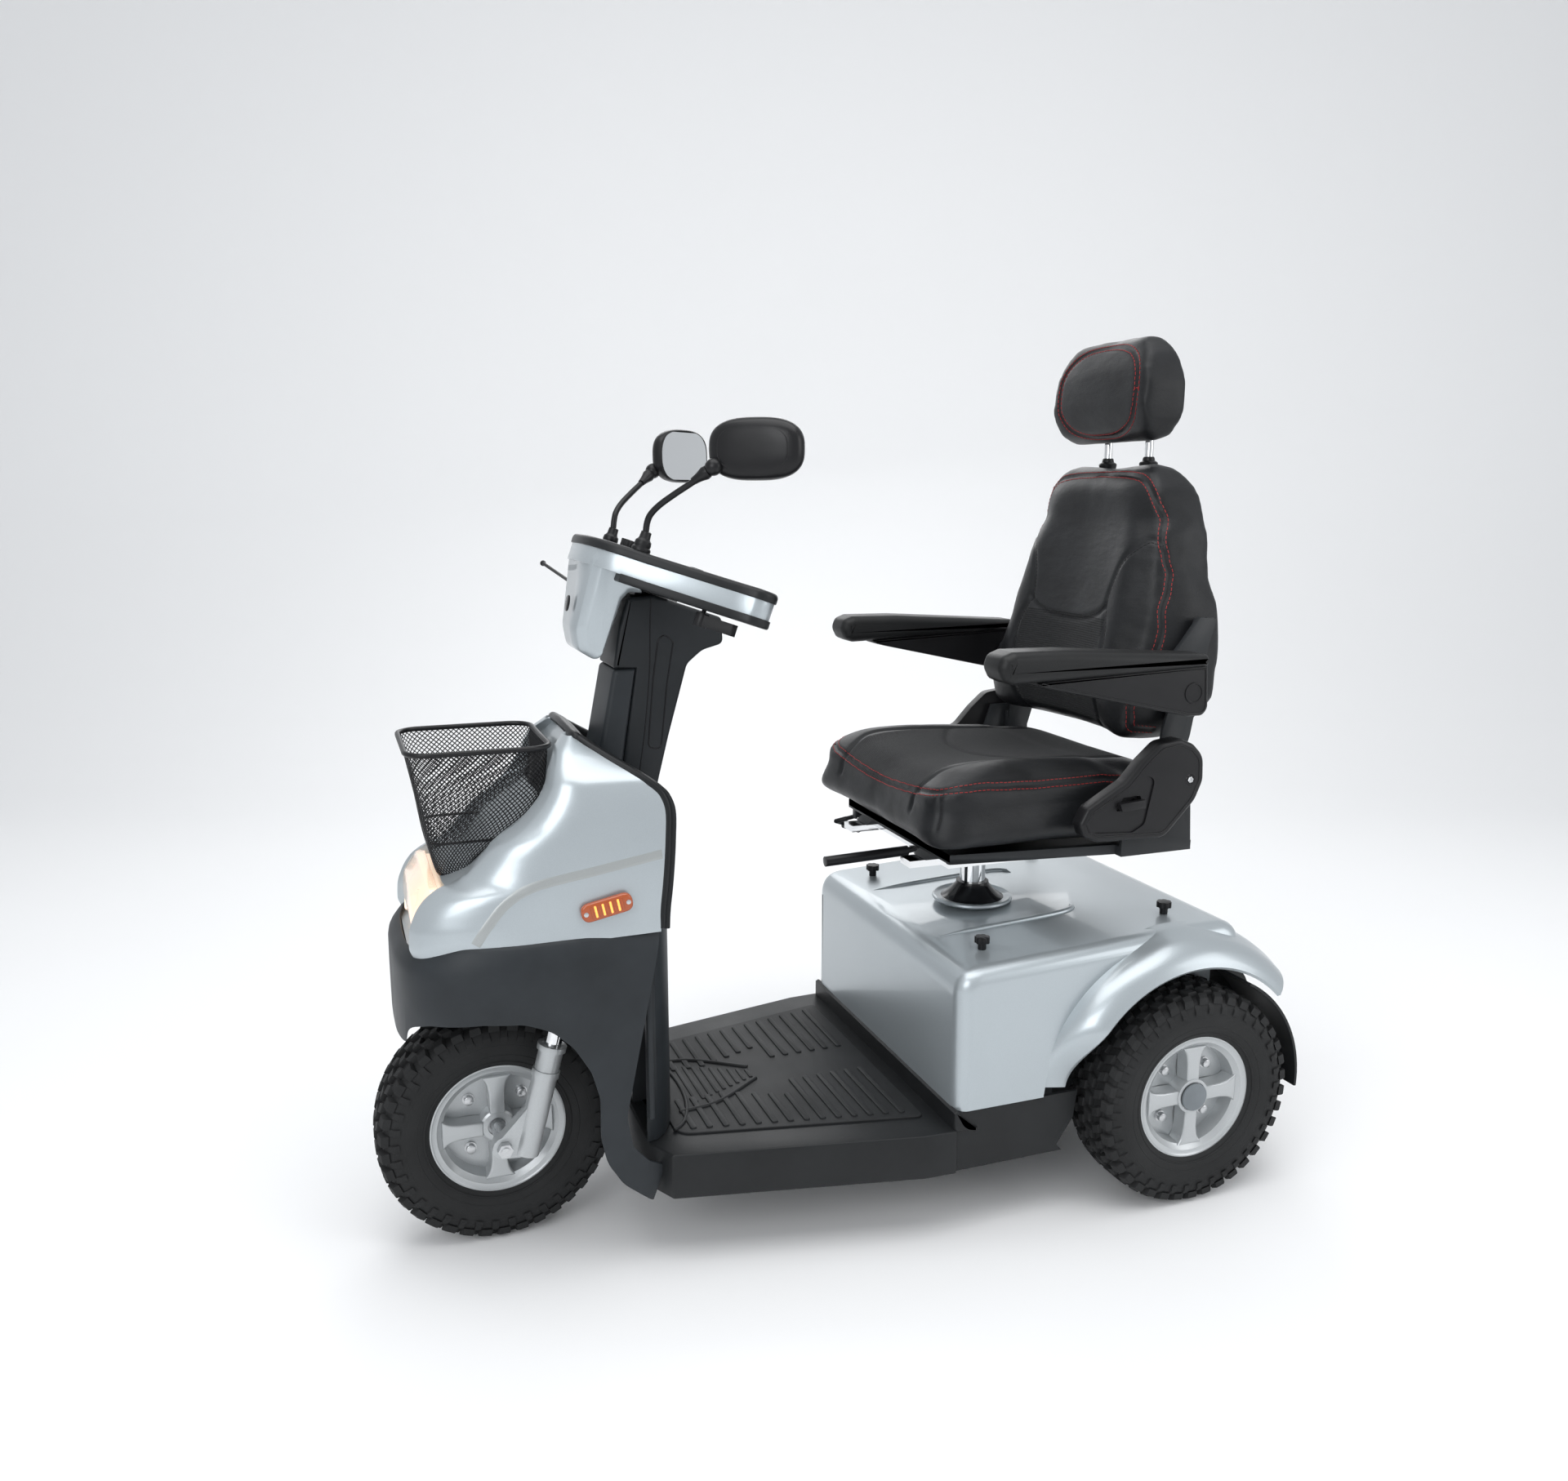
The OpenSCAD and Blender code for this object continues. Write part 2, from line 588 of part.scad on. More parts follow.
module hand_brake_lever() color("#17181a") placed() difference() {
  union() {
    rod([808, -79, 902], [830, -262, 930], 2.6);
    translate([830, -262, 930]) sphere(r = 4.5, $fn = 24);
    translate([808, -79, 897.4]) cylinder(h = 10.2, r = 5);
  }
  translate([808, -79, 880]) cylinder(h = 40, r = 2 + fit);
}

// ---- mirrors

// A round tube with flat sides along a route, mitred at each of its points
module swept_tube(route, r, sides) {
  last = len(route) - 1;
  rings = [for (i = [0:last]) let (
      d = route[min(i + 1, last)] - route[max(i - 1, 0)],
      u = cross(d, [1, 0, 0]) / norm(cross(d, [1, 0, 0])),
      v = cross(d, u) / norm(d))
    for (k = [0:sides - 1]) route[i] + r * (cos(360 * k / sides) * u + sin(360 * k / sides) * v)];
  walls = [for (i = [0:last - 1], k = [0:sides - 1]) let (
      a = i * sides + k, b = i * sides + (k + 1) % sides)
    each [[a, a + sides, b + sides], [a, b + sides, b]]];
  polyhedron(rings, concat([[for (k = [0:sides - 1]) k]], walls,
    [[for (k = [sides - 1:-1:0]) last * sides + k]]));
}

module mirror_arm(side) color("#1a1b1d") placed() mirror([0, side < 0 ? 1 : 0, 0]) {
  on_console() translate([11, 94, 0]) {
    translate([0, 0, -12]) cylinder(h = 14, r = 4);
    translate([0, 0, 0.4]) rotate_extrude() polygon([[0, 0], [12, 0], [11, 12], [7, 16],
      [7, 26], [0, 26]]);
  }
  stem = [[758, 94, 980], [756, 95, 996], [752, 98, 1008], [742, 107, 1020], [724, 121, 1035],
    [704, 136, 1050], mirror_ball];
  swept_tube(stem, 4.2, 12);
  translate(mirror_ball) rotate([0, 0, 70]) sphere(r = 6, $fn = 32);
}

module at_mirror() translate([mirror_x, mirror_y, mirror_z]) rotate([0, 0, mirror_turn])
  rotate([90, 0, 90]) children();

// The shell faces forward and outwards, and holds the ball at its inner lower corner
module mirror_shell(side) color("#1a1b1d") placed() mirror([0, side < 0 ? 1 : 0, 0])
  difference() {
    union() {
      at_mirror() translate([0, 0, -12]) linear_extrude(16) polygon(round_rect(126, 78, 34));
      at_mirror() translate([0, 0, 3]) linear_extrude(9) polygon(round_rect(100, 54, 25));
      translate(mirror_ball) rotate([0, 0, 70]) sphere(r = 11, $fn = 32);
    }
    translate(mirror_ball) rotate([0, 0, 70]) sphere(r = 6.4, $fn = 32);
    rod(mirror_ball, mirror_ball + [24, -16, -18], 6);
    at_mirror() translate([0, 0, -13]) linear_extrude(4) polygon(round_rect(118, 70, 31));
  }

module mirror_glass(side) color("#cfd8dc") placed() mirror([0, side < 0 ? 1 : 0, 0])
  at_mirror() translate([0, 0, -12]) linear_extrude(2.8) polygon(round_rect(117, 69, 30.5));

// ---- seat

module seat_pedestal() color("#c9cdd0") placed() {
  translate([post_x, 0, 181]) cylinder(h = 317, r = post_d / 2);
  translate([post_x - 110, -125, 498]) cube([220, 250, 6]);
  for (s = [-1, 1]) translate([post_x - 170, s * 105 - 16, 504]) cube([340, 32, 10]);
  // ears and pin of the swivel lever
  for (y = [-48, -24.6]) side_plate([[252, 499], [272, 499], [270, 481], [254, 481]], y, y + 4);
  cross_cylinder(262, 488, 3, -48, -20.6);
}

module swivel_lever() color("#161719") placed() difference() {
  union() {
    rod([452, -34, 478], [312, -34, 482], 8);
    rod([314, -34, 482], [262, -34, 487], 5);
    cross_cylinder(262, 488, 7, -43.6, -25);
  }
  cross_cylinder(262, 488, 3 + fit, -60, 0);
}

module seat_frame() color("#2a2d30") placed() difference() {
  union() {
    for (s = [-1, 1]) translate([20, s * 105 - 20, 514.6]) cube([340, 40, 8]);
    translate([-4, -214, 522]) cube([388, 428, 14]);
    translate([-20, -229.4, 522]) cube([120, 458.8, 14]);
    both_sides() side_plate([[-20, 524], [100, 524], [100, 560], [60, 672], [0, 672],
      [-12, 640]], 223.4, 229.4);
    for (x = [316, 342]) translate([x, -172.6, 505]) cube([4, 10.6, 18]);
    translate([316, -168, 511]) rotate([0, 90, 0]) cylinder(h = 30, r = 2.5);
  }
  both_sides() cross_cylinder(recline_x, recline_z, 8 + fit, 200, 240);
  // the pan is a shallow tray under the cushion
  translate([8, -202, 525]) cube([364, 404, 20]);
}

module seat_cushion() color("#222426") placed() intersection() {
  side = concat([[62, seat_half - 20], [80, seat_half]],
    arc(350, seat_half - 46, 46, 90, 0));
  plan_plate(concat([[-20, 0], [-20, 190], [-10, seat_half - 20]], side,
    mirrored(concat([[-20, 190], [-10, seat_half - 20]], side))), seat_z, 668);
  side_plate([[-30, 537], [388, 537], [398, 556], [400, 622], [380, 646], [330, 660],
    [120, 652], [96, 645], [-30, 640]], -300, 300);
  front_plate([[-222, 500], [-222, 640], [-212, 656], [-190, 662], [-120, 650], [120, 650],
    [190, 662], [212, 656], [222, 640], [222, 500]], -100, 500);
}

module hinge_covers() color("#1c1e20") placed() both_sides() difference() {
  side_plate(concat([[190, 584], [182, 566], [160, 556], [48, 552]],
    [[-2, 604], [-14, 632], [-12, 668], [6, 686], [30, 696], [64, 692], [92, 668],
    [118, 640], [150, 622], [178, 606]]), 236, 258);
  side_plate([[176, 582], [160, 566], [52, 562], [8, 606], [-4, 634], [-2, 664], [12, 678],
    [32, 686], [60, 682], [84, 662], [112, 632], [146, 612], [170, 600]], 230, 254);
  side_plate([[84, 598], [132, 598], [122, 618], [92, 618]], 250, 262);
}

module slide_lever() color("#1a1b1d") placed() difference() {
  union() {
    translate([321, -168, 511]) rotate([0, 90, 0]) cylinder(h = 20, r = 5.5);
    rod([334, -170, 509], [352, -190, 499], 3.6);
    rod([350, -188, 500], [366, -198, 494], 4);
    rod([367, -196, 495], [344, -208, 485], 3.6);
    rod([348, -206, 486], [318, -208, 474], 7);
  }
  translate([300, -168, 511]) rotate([0, 90, 0]) cylinder(h = 60, r = 2.5 + fit);
}

module recline_lever() color("#303438") placed() {
  cross_cylinder(96, 608, 4, 230, 262);
  side_plate([[90, 602], [128, 600], [132, 611], [90, 614]], 259, 267);
}

// ---- backrest

module back_frame() color("#2a2d30") placed() {
  both_sides() {
    side_plate([[0, 625], [36, 625], [28, 700], [-18, 860], [-50, 860], [-20, 690]], 208, 213);
    side_plate([[2, 628], [34, 628], [34, 660], [2, 660]], 212, 222.8);
    side_plate([[-48, 858], [-20, 862], [8, 826], [50, 778], [48, 750], [22, 744],
      [-30, 800]], 212, 221);
    cross_cylinder(recline_x, recline_z, 8, 213, 235.4);
    cross_cylinder(arm_pivot_x, arm_pivot_z, 7, 218, arm_y + 20);
  }
  translate([-22, -209, 700]) cube([18, 418, 30]);
}

// Side outline of the back cushion; it leans back a little
function back_side() = [[88, 690], [70, 676], [-10, 674], [-40, 690], [-84, 730], [-94, 800],
  [-92, 862], [-88, 960], [-76, 1044], [-56, 1072], [-20, 1078], [6, 1066], [12, 1030],
  [8, 990], [40, 880], [72, 780], [90, 730]];

module back_cushion() color("#222426") placed() difference() {
  intersection() {
    side_plate(back_side(), -260, 260);
    front_plate([[-150, 660], [-196, 690], [-206, 760], [-205, 860], [-180, 980], [-150, 1040],
      [-120, 1070], [-90, 1090], [90, 1090], [120, 1070], [150, 1040], [180, 980], [205, 860],
      [206, 760], [196, 690], [150, 660]], -200, 200);
  }
  translate([-23, -215, 699]) cube([20, 430, 32]);
  both_sides() translate([-39, 53, 960]) cylinder(h = 140, r = 6.5 + fit);
}

module headrest_posts() color("#d5d8da") placed() both_sides()
  translate([-39, 53, 966]) cylinder(h = 190, r = 6.5);

module headrest_cushion() color("#222426") placed() difference() {
  intersection() {
    side_plate([[-64, 1150], [-52, 1118], [-18, 1110], [12, 1124], [26, 1160], [21, 1210],
      [3, 1250], [-24, 1264], [-50, 1252], [-64, 1210]], -130, 130);
    front_plate([[-104, 1112], [-122, 1140], [-124, 1190], [-112, 1232], [-86, 1258],
      [0, 1266], [86, 1258], [112, 1232], [124, 1190], [122, 1140], [104, 1112]], -200, 200);
  }
  both_sides() translate([-39, 53, 1100]) cylinder(h = 56.5, r = 6.5);
}

module armrest(side) color("#1c1e20") placed() mirror([0, side < 0 ? 1 : 0, 0]) difference() {
  union() {
    side_plate([[336, 796], [342, 812], [336, 828], [320, 834], [240, 833], [12, 818],
      [12, 800], [320, 790]], arm_y - 29, arm_y + 29);
    side_plate([[304, 789], [12, 801], [8, 742], [16, 732], [40, 732]],
      arm_y - 22, arm_y + 22);
    cross_cylinder(arm_pivot_x, arm_pivot_z, 16, arm_y - 26, arm_y + 24);
  }
  cross_cylinder(arm_pivot_x, arm_pivot_z, 7 + fit, arm_y - 60, arm_y + 20.3);
}

chassis_frame();
platform();
floor_mat();
front_shroud();
front_cowl();
cowl_trim();
leg_shield();
headlight_housing();
headlight_lens();
front_indicators();
basket();
body_cover();
rear_underbody();
cover_knobs();
seat_flange();
batteries();
transaxle();
tail_lights();
steering_stem();
fork_stanchions();
fork_legs();
front_axle();
front_tyre();
front_rim();
rear_tyre(1);  // rear_tyre_left
rear_tyre(-1);  // rear_tyre_right
rear_rim(1);  // rear_rim_left
rear_rim(-1);  // rear_rim_right
hub_cap(1);  // hub_cap_left
hub_cap(-1);  // hub_cap_right
axle_shaft(1);  // axle_shaft_left
axle_shaft(-1);  // axle_shaft_right
tiller_tube();
column_front_cover();
column_rear_cover();
head_cover();
console();
speed_dial();
throttle_lever(1);  // throttle_lever_left
throttle_lever(-1);  // throttle_lever_right
hand_brake_lever();
mirror_arm(1);  // mirror_arm_left
mirror_arm(-1);  // mirror_arm_right
mirror_shell(1);  // mirror_shell_left
mirror_shell(-1);  // mirror_shell_right
mirror_glass(1);  // mirror_glass_left
mirror_glass(-1);  // mirror_glass_right
seat_pedestal();
swivel_lever();
seat_frame();
seat_cushion();
hinge_covers();
slide_lever();
recline_lever();
back_frame();
back_cushion();
headrest_posts();
headrest_cushion();
armrest(1);  // armrest_left
armrest(-1);  // armrest_right
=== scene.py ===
import json
import math

import bmesh
import bpy
import numpy as np
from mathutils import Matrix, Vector
from mathutils.bvhtree import BVHTree
from mathutils.kdtree import KDTree


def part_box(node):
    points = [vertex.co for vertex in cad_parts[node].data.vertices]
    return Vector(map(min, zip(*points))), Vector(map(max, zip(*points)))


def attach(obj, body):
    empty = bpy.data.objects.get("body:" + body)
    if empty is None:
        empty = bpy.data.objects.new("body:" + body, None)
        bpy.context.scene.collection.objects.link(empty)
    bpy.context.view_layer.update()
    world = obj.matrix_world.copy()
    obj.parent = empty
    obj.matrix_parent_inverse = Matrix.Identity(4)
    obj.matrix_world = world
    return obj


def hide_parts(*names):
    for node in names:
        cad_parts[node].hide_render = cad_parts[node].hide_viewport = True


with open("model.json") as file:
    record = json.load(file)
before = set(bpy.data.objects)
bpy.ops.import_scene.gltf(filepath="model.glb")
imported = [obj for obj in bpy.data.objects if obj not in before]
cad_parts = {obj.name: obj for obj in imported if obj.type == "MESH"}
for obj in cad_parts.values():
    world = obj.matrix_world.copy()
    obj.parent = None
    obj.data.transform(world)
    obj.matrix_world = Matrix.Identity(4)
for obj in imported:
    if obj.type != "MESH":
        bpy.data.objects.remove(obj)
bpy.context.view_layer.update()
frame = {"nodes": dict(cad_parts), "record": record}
nodes = frame["nodes"]
mm = 0.001
shaftLow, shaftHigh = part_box("axle_shaft_left")
axleX = (shaftLow.x + shaftHigh.x) / 2      # the rear axle: every x below is counted from it, in mm
bodyOf = {node: body for body, members in frame["record"]["behaviour"]["bodies"].items() for node in members}
slotOf = {part["node"]: part["material_slot"] for part in frame["record"]["subparts"]}
print("frame loaded:", len(nodes), "nodes")


def at(x, y, z):
    return Vector((axleX + x * mm, y * mm, z * mm))


def placeOf(v):
    # the opposite of at: how far a point is from the rear axle, in mm
    return (v.x - axleX) / mm, v.y / mm, v.z / mm


def otherSide(path, side=-1):
    # the same path on the right of the scooter, or unchanged with side 1
    return [Vector((v.x, side * v.y, v.z)) for v in path]


# materials

def surface(name, color, rough, metal=0.0, coat=0.0, specular=0.5, sheen=0.0):
    material = bpy.data.materials.new(name)
    material.use_nodes = True
    shader = material.node_tree.nodes["Principled BSDF"]
    shader.inputs["Base Color"].default_value = (*color, 1)
    shader.inputs["Roughness"].default_value = rough
    shader.inputs["Metallic"].default_value = metal
    shader.inputs["Coat Weight"].default_value = coat
    shader.inputs["Coat Roughness"].default_value = 0.05
    shader.inputs["Specular IOR Level"].default_value = specular
    shader.inputs["Sheen Weight"].default_value = sheen
    return material


def shaderOf(material):
    return material.node_tree.nodes["Principled BSDF"]


def noiseOf(tree, scale, detail=2.0, stretch=(1, 1, 1)):
    place = tree.nodes.new("ShaderNodeTexCoord")
    mapping = tree.nodes.new("ShaderNodeMapping")
    mapping.inputs["Scale"].default_value = stretch
    texture = tree.nodes.new("ShaderNodeTexNoise")
    texture.inputs["Scale"].default_value = scale
    texture.inputs["Detail"].default_value = detail
    tree.links.new(place.outputs["Object"], mapping.inputs["Vector"])
    tree.links.new(mapping.outputs["Vector"], texture.inputs["Vector"])
    return texture.outputs["Fac"]


def cellsOf(tree, scale):
    place = tree.nodes.new("ShaderNodeTexCoord")
    texture = tree.nodes.new("ShaderNodeTexVoronoi")
    texture.feature = "DISTANCE_TO_EDGE"
    texture.inputs["Scale"].default_value = scale
    tree.links.new(place.outputs["Object"], texture.inputs["Vector"])
    return texture.outputs["Distance"]


def bandsOf(tree, scale, axis="X"):
    place = tree.nodes.new("ShaderNodeTexCoord")
    texture = tree.nodes.new("ShaderNodeTexWave")
    texture.bands_direction = axis
    texture.inputs["Scale"].default_value = scale
    tree.links.new(place.outputs["Object"], texture.inputs["Vector"])
    return texture.outputs["Fac"]


def addBump(material, height, strength, distance):
    tree = material.node_tree
    shader = shaderOf(material)
    bump = tree.nodes.new("ShaderNodeBump")
    bump.inputs["Strength"].default_value = strength
    bump.inputs["Distance"].default_value = distance
    tree.links.new(height, bump.inputs["Height"])
    if shader.inputs["Normal"].is_linked:
        tree.links.new(shader.inputs["Normal"].links[0].from_socket, bump.inputs["Normal"])
    tree.links.new(bump.outputs["Normal"], shader.inputs["Normal"])


def vary(material, socket, factor, low, high):
    # low and high are what the socket takes where the factor is 0.3 and 0.7
    tree = material.node_tree
    if isinstance(low, tuple):
        ramp = tree.nodes.new("ShaderNodeValToRGB")
        ramp.color_ramp.elements[0].position = 0.3
        ramp.color_ramp.elements[1].position = 0.7
        ramp.color_ramp.elements[0].color = (*low, 1)
        ramp.color_ramp.elements[1].color = (*high, 1)
        tree.links.new(factor, ramp.inputs["Fac"])
        tree.links.new(ramp.outputs["Color"], shaderOf(material).inputs[socket])
        return
    span = tree.nodes.new("ShaderNodeMapRange")
    span.inputs["From Min"].default_value = 0.3
    span.inputs["From Max"].default_value = 0.7
    span.inputs["To Min"].default_value = low
    span.inputs["To Max"].default_value = high
    tree.links.new(factor, span.inputs["Value"])
    tree.links.new(span.outputs["Result"], shaderOf(material).inputs[socket])


def shades(color, darker, lighter):
    return tuple(c * darker for c in color), tuple(c * lighter for c in color)


def metallicPaint(name, color, rough, flake=2600):
    paint = surface(name, color, rough, metal=0.55, coat=0.45)
    tree = paint.node_tree
    vary(paint, "Base Color", noiseOf(tree, flake, 0), *shades(color, 0.94, 1.06))
    vary(paint, "Roughness", noiseOf(tree, 5, 3), rough - 0.03, rough + 0.04)
    return paint


def mouldedPlastic(name, color, rough, grain=1500, depth=0.25):
    plastic = surface(name, color, rough, specular=0.28)
    tree = plastic.node_tree
    vary(plastic, "Base Color", noiseOf(tree, 14, 4), *shades(color, 0.85, 1.2))
    vary(plastic, "Roughness", noiseOf(tree, 9, 3), rough - 0.05, rough + 0.06)
    addBump(plastic, noiseOf(tree, grain, 1), depth, 0.0003)
    return plastic


def grainedLeather(name, color, rough):
    leather = surface(name, color, rough, specular=0.3)
    tree = leather.node_tree
    vary(leather, "Base Color", noiseOf(tree, 22, 5), *shades(color, 0.75, 1.3))
    vary(leather, "Roughness", noiseOf(tree, 12, 4), rough - 0.07, rough + 0.08)
    addBump(leather, cellsOf(tree, 620), 0.35, 0.0006)
    addBump(leather, noiseOf(tree, 26, 3, (1, 1, 2.4)), 0.22, 0.004)
    return leather


def ribbedFabric(name, color, axis):
    fabric = surface(name, color, 0.7, specular=0.2, sheen=0.05)
    tree = fabric.node_tree
    vary(fabric, "Base Color", noiseOf(tree, 240, 3), *shades(color, 0.7, 1.45))
    addBump(fabric, bandsOf(tree, 95, axis), 0.5, 0.0009)
    addBump(fabric, noiseOf(tree, 1500, 1), 0.35, 0.0004)
    return fabric


def metal(name, color, rough, scratch=60, stretch=(1, 1, 8)):
    steel = surface(name, color, rough, metal=1.0)
    vary(steel, "Roughness", noiseOf(steel.node_tree, scratch, 4, stretch), max(rough - 0.06, 0.02),
         rough + 0.1)
    return steel


def glowing(name, color, strength, rough=0.25):
    lamp = surface(name, color, rough, coat=0.6)
    shader = shaderOf(lamp)
    shader.inputs["Emission Color"].default_value = (*color, 1)
    shader.inputs["Emission Strength"].default_value = strength
    addBump(lamp, cellsOf(lamp.node_tree, 180), 0.3, 0.001)
    return lamp


def clearPlastic(name, color, rough, transmission):
    clear = surface(name, color, rough, coat=0.5)
    shaderOf(clear).inputs["Transmission Weight"].default_value = transmission
    addBump(clear, bandsOf(clear.node_tree, 60, "Y"), 0.15, 0.0008)
    return clear


finish = {
    "silver": metallicPaint("silverPaint", (0.43, 0.475, 0.50), 0.31),
    # painted shade: darker paint for the strips that stand in for the shade inside the cowl's groove
    "grooveShade": metallicPaint("grooveShadePaint", (0.36, 0.38, 0.38), 0.42),
    "wheel": metallicPaint("wheelPaint", (0.46, 0.48, 0.49), 0.36, 1800),
    "shroud": mouldedPlastic("shroudPlastic", (0.019, 0.0225, 0.026), 0.46, 1100, 0.3),
    "floor": mouldedPlastic("floorPlastic", (0.011, 0.012, 0.013), 0.44, 900, 0.4),
    "column": mouldedPlastic("columnPlastic", (0.012, 0.014, 0.016), 0.42, 1100, 0.3),
    "knob": mouldedPlastic("knobPlastic", (0.009, 0.009, 0.010), 0.36, 800, 0.2),
    "gloss": mouldedPlastic("glossBlack", (0.007, 0.007, 0.008), 0.14, 300, 0.03),
    "mat": mouldedPlastic("matRubber", (0.015, 0.016, 0.017), 0.58, 700, 0.5),
    "trim": mouldedPlastic("trimRubber", (0.008, 0.009, 0.010), 0.38, 900, 0.3),
    "tyre": mouldedPlastic("tyreRubber", (0.014, 0.0145, 0.015), 0.66, 500, 0.5),
    "frame": mouldedPlastic("framePaint", (0.020, 0.022, 0.024), 0.4, 300, 0.2),
    "battery": mouldedPlastic("batteryCase", (0.06, 0.065, 0.07), 0.6, 300, 0.2),
    "cap": mouldedPlastic("capGrey", (0.17, 0.19, 0.205), 0.34, 600, 0.1),
    "arm": mouldedPlastic("armFoam", (0.010, 0.0105, 0.011), 0.44, 620, 0.5),
    "console": mouldedPlastic("consolePlastic", (0.012, 0.013, 0.014), 0.38, 1000, 0.2),
    "mirrorBlack": mouldedPlastic("mirrorBlack", (0.009, 0.009, 0.010), 0.3, 900, 0.2),
    "leather": grainedLeather("blackLeather", (0.0085, 0.0092, 0.0105), 0.42),
    "seatRib": ribbedFabric("ribbedSeatFabric", (0.0095, 0.010, 0.011), "Y"),
    "backRib": ribbedFabric("ribbedBackFabric", (0.0085, 0.009, 0.010), "Z"),
    "thread": surface("redThread", (0.30, 0.012, 0.012), 0.6),
    "blackThread": surface("blackThread", (0.006, 0.006, 0.006), 0.6),
    "chrome": metal("chromePlate", (0.80, 0.81, 0.82), 0.07),
    "zinc": metal("zincPlate", (0.58, 0.59, 0.60), 0.3, 220),
    "cast": metal("castAlloy", (0.30, 0.31, 0.32), 0.5, 90),
    "mirrorGlass": surface("mirrorGlass", (0.88, 0.90, 0.91), 0.02, metal=1.0),
    "lamp": glowing("lampGlow", (1.0, 0.78, 0.60), 0.75),
    "lens": clearPlastic("lampClear", (0.98, 0.95, 0.90), 0.06, 0.92),
    "amber": glowing("amberLens", (0.36, 0.065, 0.008), 0.03),
    "led": glowing("amberLed", (1.0, 0.45, 0.08), 0.7),
    "red": glowing("redLens", (0.42, 0.008, 0.008), 0.12),
}
print("materials:", len(finish))


# mesh helpers

def smoothShade(mesh, angle=35):
    bm = bmesh.new()
    bm.from_mesh(mesh)
    for face in bm.faces:
        face.smooth = True
    limit = math.radians(angle)
    for edge in bm.edges:
        edge.smooth = len(edge.link_faces) == 2 and edge.calc_face_angle(0) < limit
    bm.to_mesh(mesh)
    bm.free()


def objectFrom(name, verts, faces, material, angle=35, merge=0.00002):
    mesh = bpy.data.meshes.new(name)
    mesh.from_pydata([tuple(v) for v in verts], [], faces)
    bm = bmesh.new()
    bm.from_mesh(mesh)
    bmesh.ops.remove_doubles(bm, verts=bm.verts, dist=merge)
    bmesh.ops.dissolve_degenerate(bm, edges=bm.edges, dist=0.00001)
    bmesh.ops.recalc_face_normals(bm, faces=bm.faces)
    bm.to_mesh(mesh)
    bm.free()
    smoothShade(mesh, angle)
    piece = bpy.data.objects.new(name, mesh)
    bpy.context.scene.collection.objects.link(piece)
    mesh.materials.append(material)
    return piece


def joined(name, pieces):
    # several meshes become one, each part keeping its own materials
    base = pieces[0]
    with bpy.context.temp_override(active_object=base, object=base, selected_objects=pieces,
                                   selected_editable_objects=pieces):
        bpy.ops.object.join()
    base.name = name
    base.data.name = name
    return base


def applied(piece):
    # bakes the piece's modifiers into a plain mesh
    graph = bpy.context.evaluated_depsgraph_get()
    mesh = bpy.data.meshes.new_from_object(piece.evaluated_get(graph))
    piece.modifiers.clear()
    piece.data = mesh
    return piece


def cutBy(piece, cutter, mode="DIFFERENCE"):
    tool = piece.modifiers.new("cut", "BOOLEAN")
    tool.operation = mode
    tool.object = cutter
    tool.solver = "EXACT"
    applied(piece)
    bpy.data.objects.remove(cutter)
    smoothShade(piece.data)
    return piece


def rounded(points, radius, steps=5):
    # each corner of a closed outline becomes an arc; radius is one number or one per corner
    count = len(points)
    radii = radius if isinstance(radius, (list, tuple)) else [radius] * count
    result = []
    for i, corner in enumerate(points):
        here = Vector(corner)
        before = Vector(points[i - 1]) - here
        after = Vector(points[(i + 1) % count]) - here
        half = before.angle(after) / 2
        if radii[i] <= 0 or half > math.radians(88):
            result.append(tuple(here))
            continue
        reach = min(radii[i] / math.tan(half), before.length * 0.48, after.length * 0.48)
        start = here + before.normalized() * reach
        end = here + after.normalized() * reach
        for k in range(steps + 1):
            t = k / steps
            result.append(tuple(start * (1 - t) ** 2 + here * 2 * t * (1 - t) + end * t ** 2))
    return result


def roundedBox(middleA, middleB, halfA, halfB, radius, steps=3):
    corners = ((-1, -1), (1, -1), (1, 1), (-1, 1))
    return rounded([(middleA + a * halfA, middleB + b * halfB) for a, b in corners], radius, steps)


def softLoop(halfA, halfB, power, count):
    # a loop between an ellipse (power 1) and a box (power 0)
    loop = []
    for k in range(count):
        angle = 2 * math.pi * k / count
        a, b = math.cos(angle), math.sin(angle)
        loop.append((halfA * math.copysign(abs(a) ** power, a), halfB * math.copysign(abs(b) ** power, b)))
    return loop


def shrunk(outline, inset):
    # moves each point of a closed outline inwards along its own normal
    area = sum(a[0] * b[1] - b[0] * a[1] for a, b in zip(outline, outline[1:] + outline[:1]))
    turn = 1 if area > 0 else -1
    result = []
    for i, point in enumerate(outline):
        before = Vector(point) - Vector(outline[i - 1])
        after = Vector(outline[(i + 1) % len(outline)]) - Vector(point)
        if before.length < 1e-9 or after.length < 1e-9:
            result.append(tuple(point))
            continue
        tangent = (before.normalized() + after.normalized()).normalized()
        result.append((point[0] - turn * tangent.y * inset, point[1] + turn * tangent.x * inset))
    return result


def placer(plane):
    # how an outline (a, b) at a depth c lies in the frame
    return {"side": lambda a, b, c: at(a, c, b), "front": lambda a, b, c: at(c, a, b),
            "plan": lambda a, b, c: at(a, b, c)}[plane]


def quads(rowCount, count, last):
    # faces between rows of count points, round the whole row or up to the last point
    return [(i * count + k, i * count + (k + 1) % count, (i + 1) * count + (k + 1) % count,
             (i + 1) * count + k)
            for i in range(rowCount - 1) for k in range(last)]


def endFaces(rowCount, count):
    return [tuple(range(count))[::-1], tuple(range((rowCount - 1) * count, rowCount * count))]


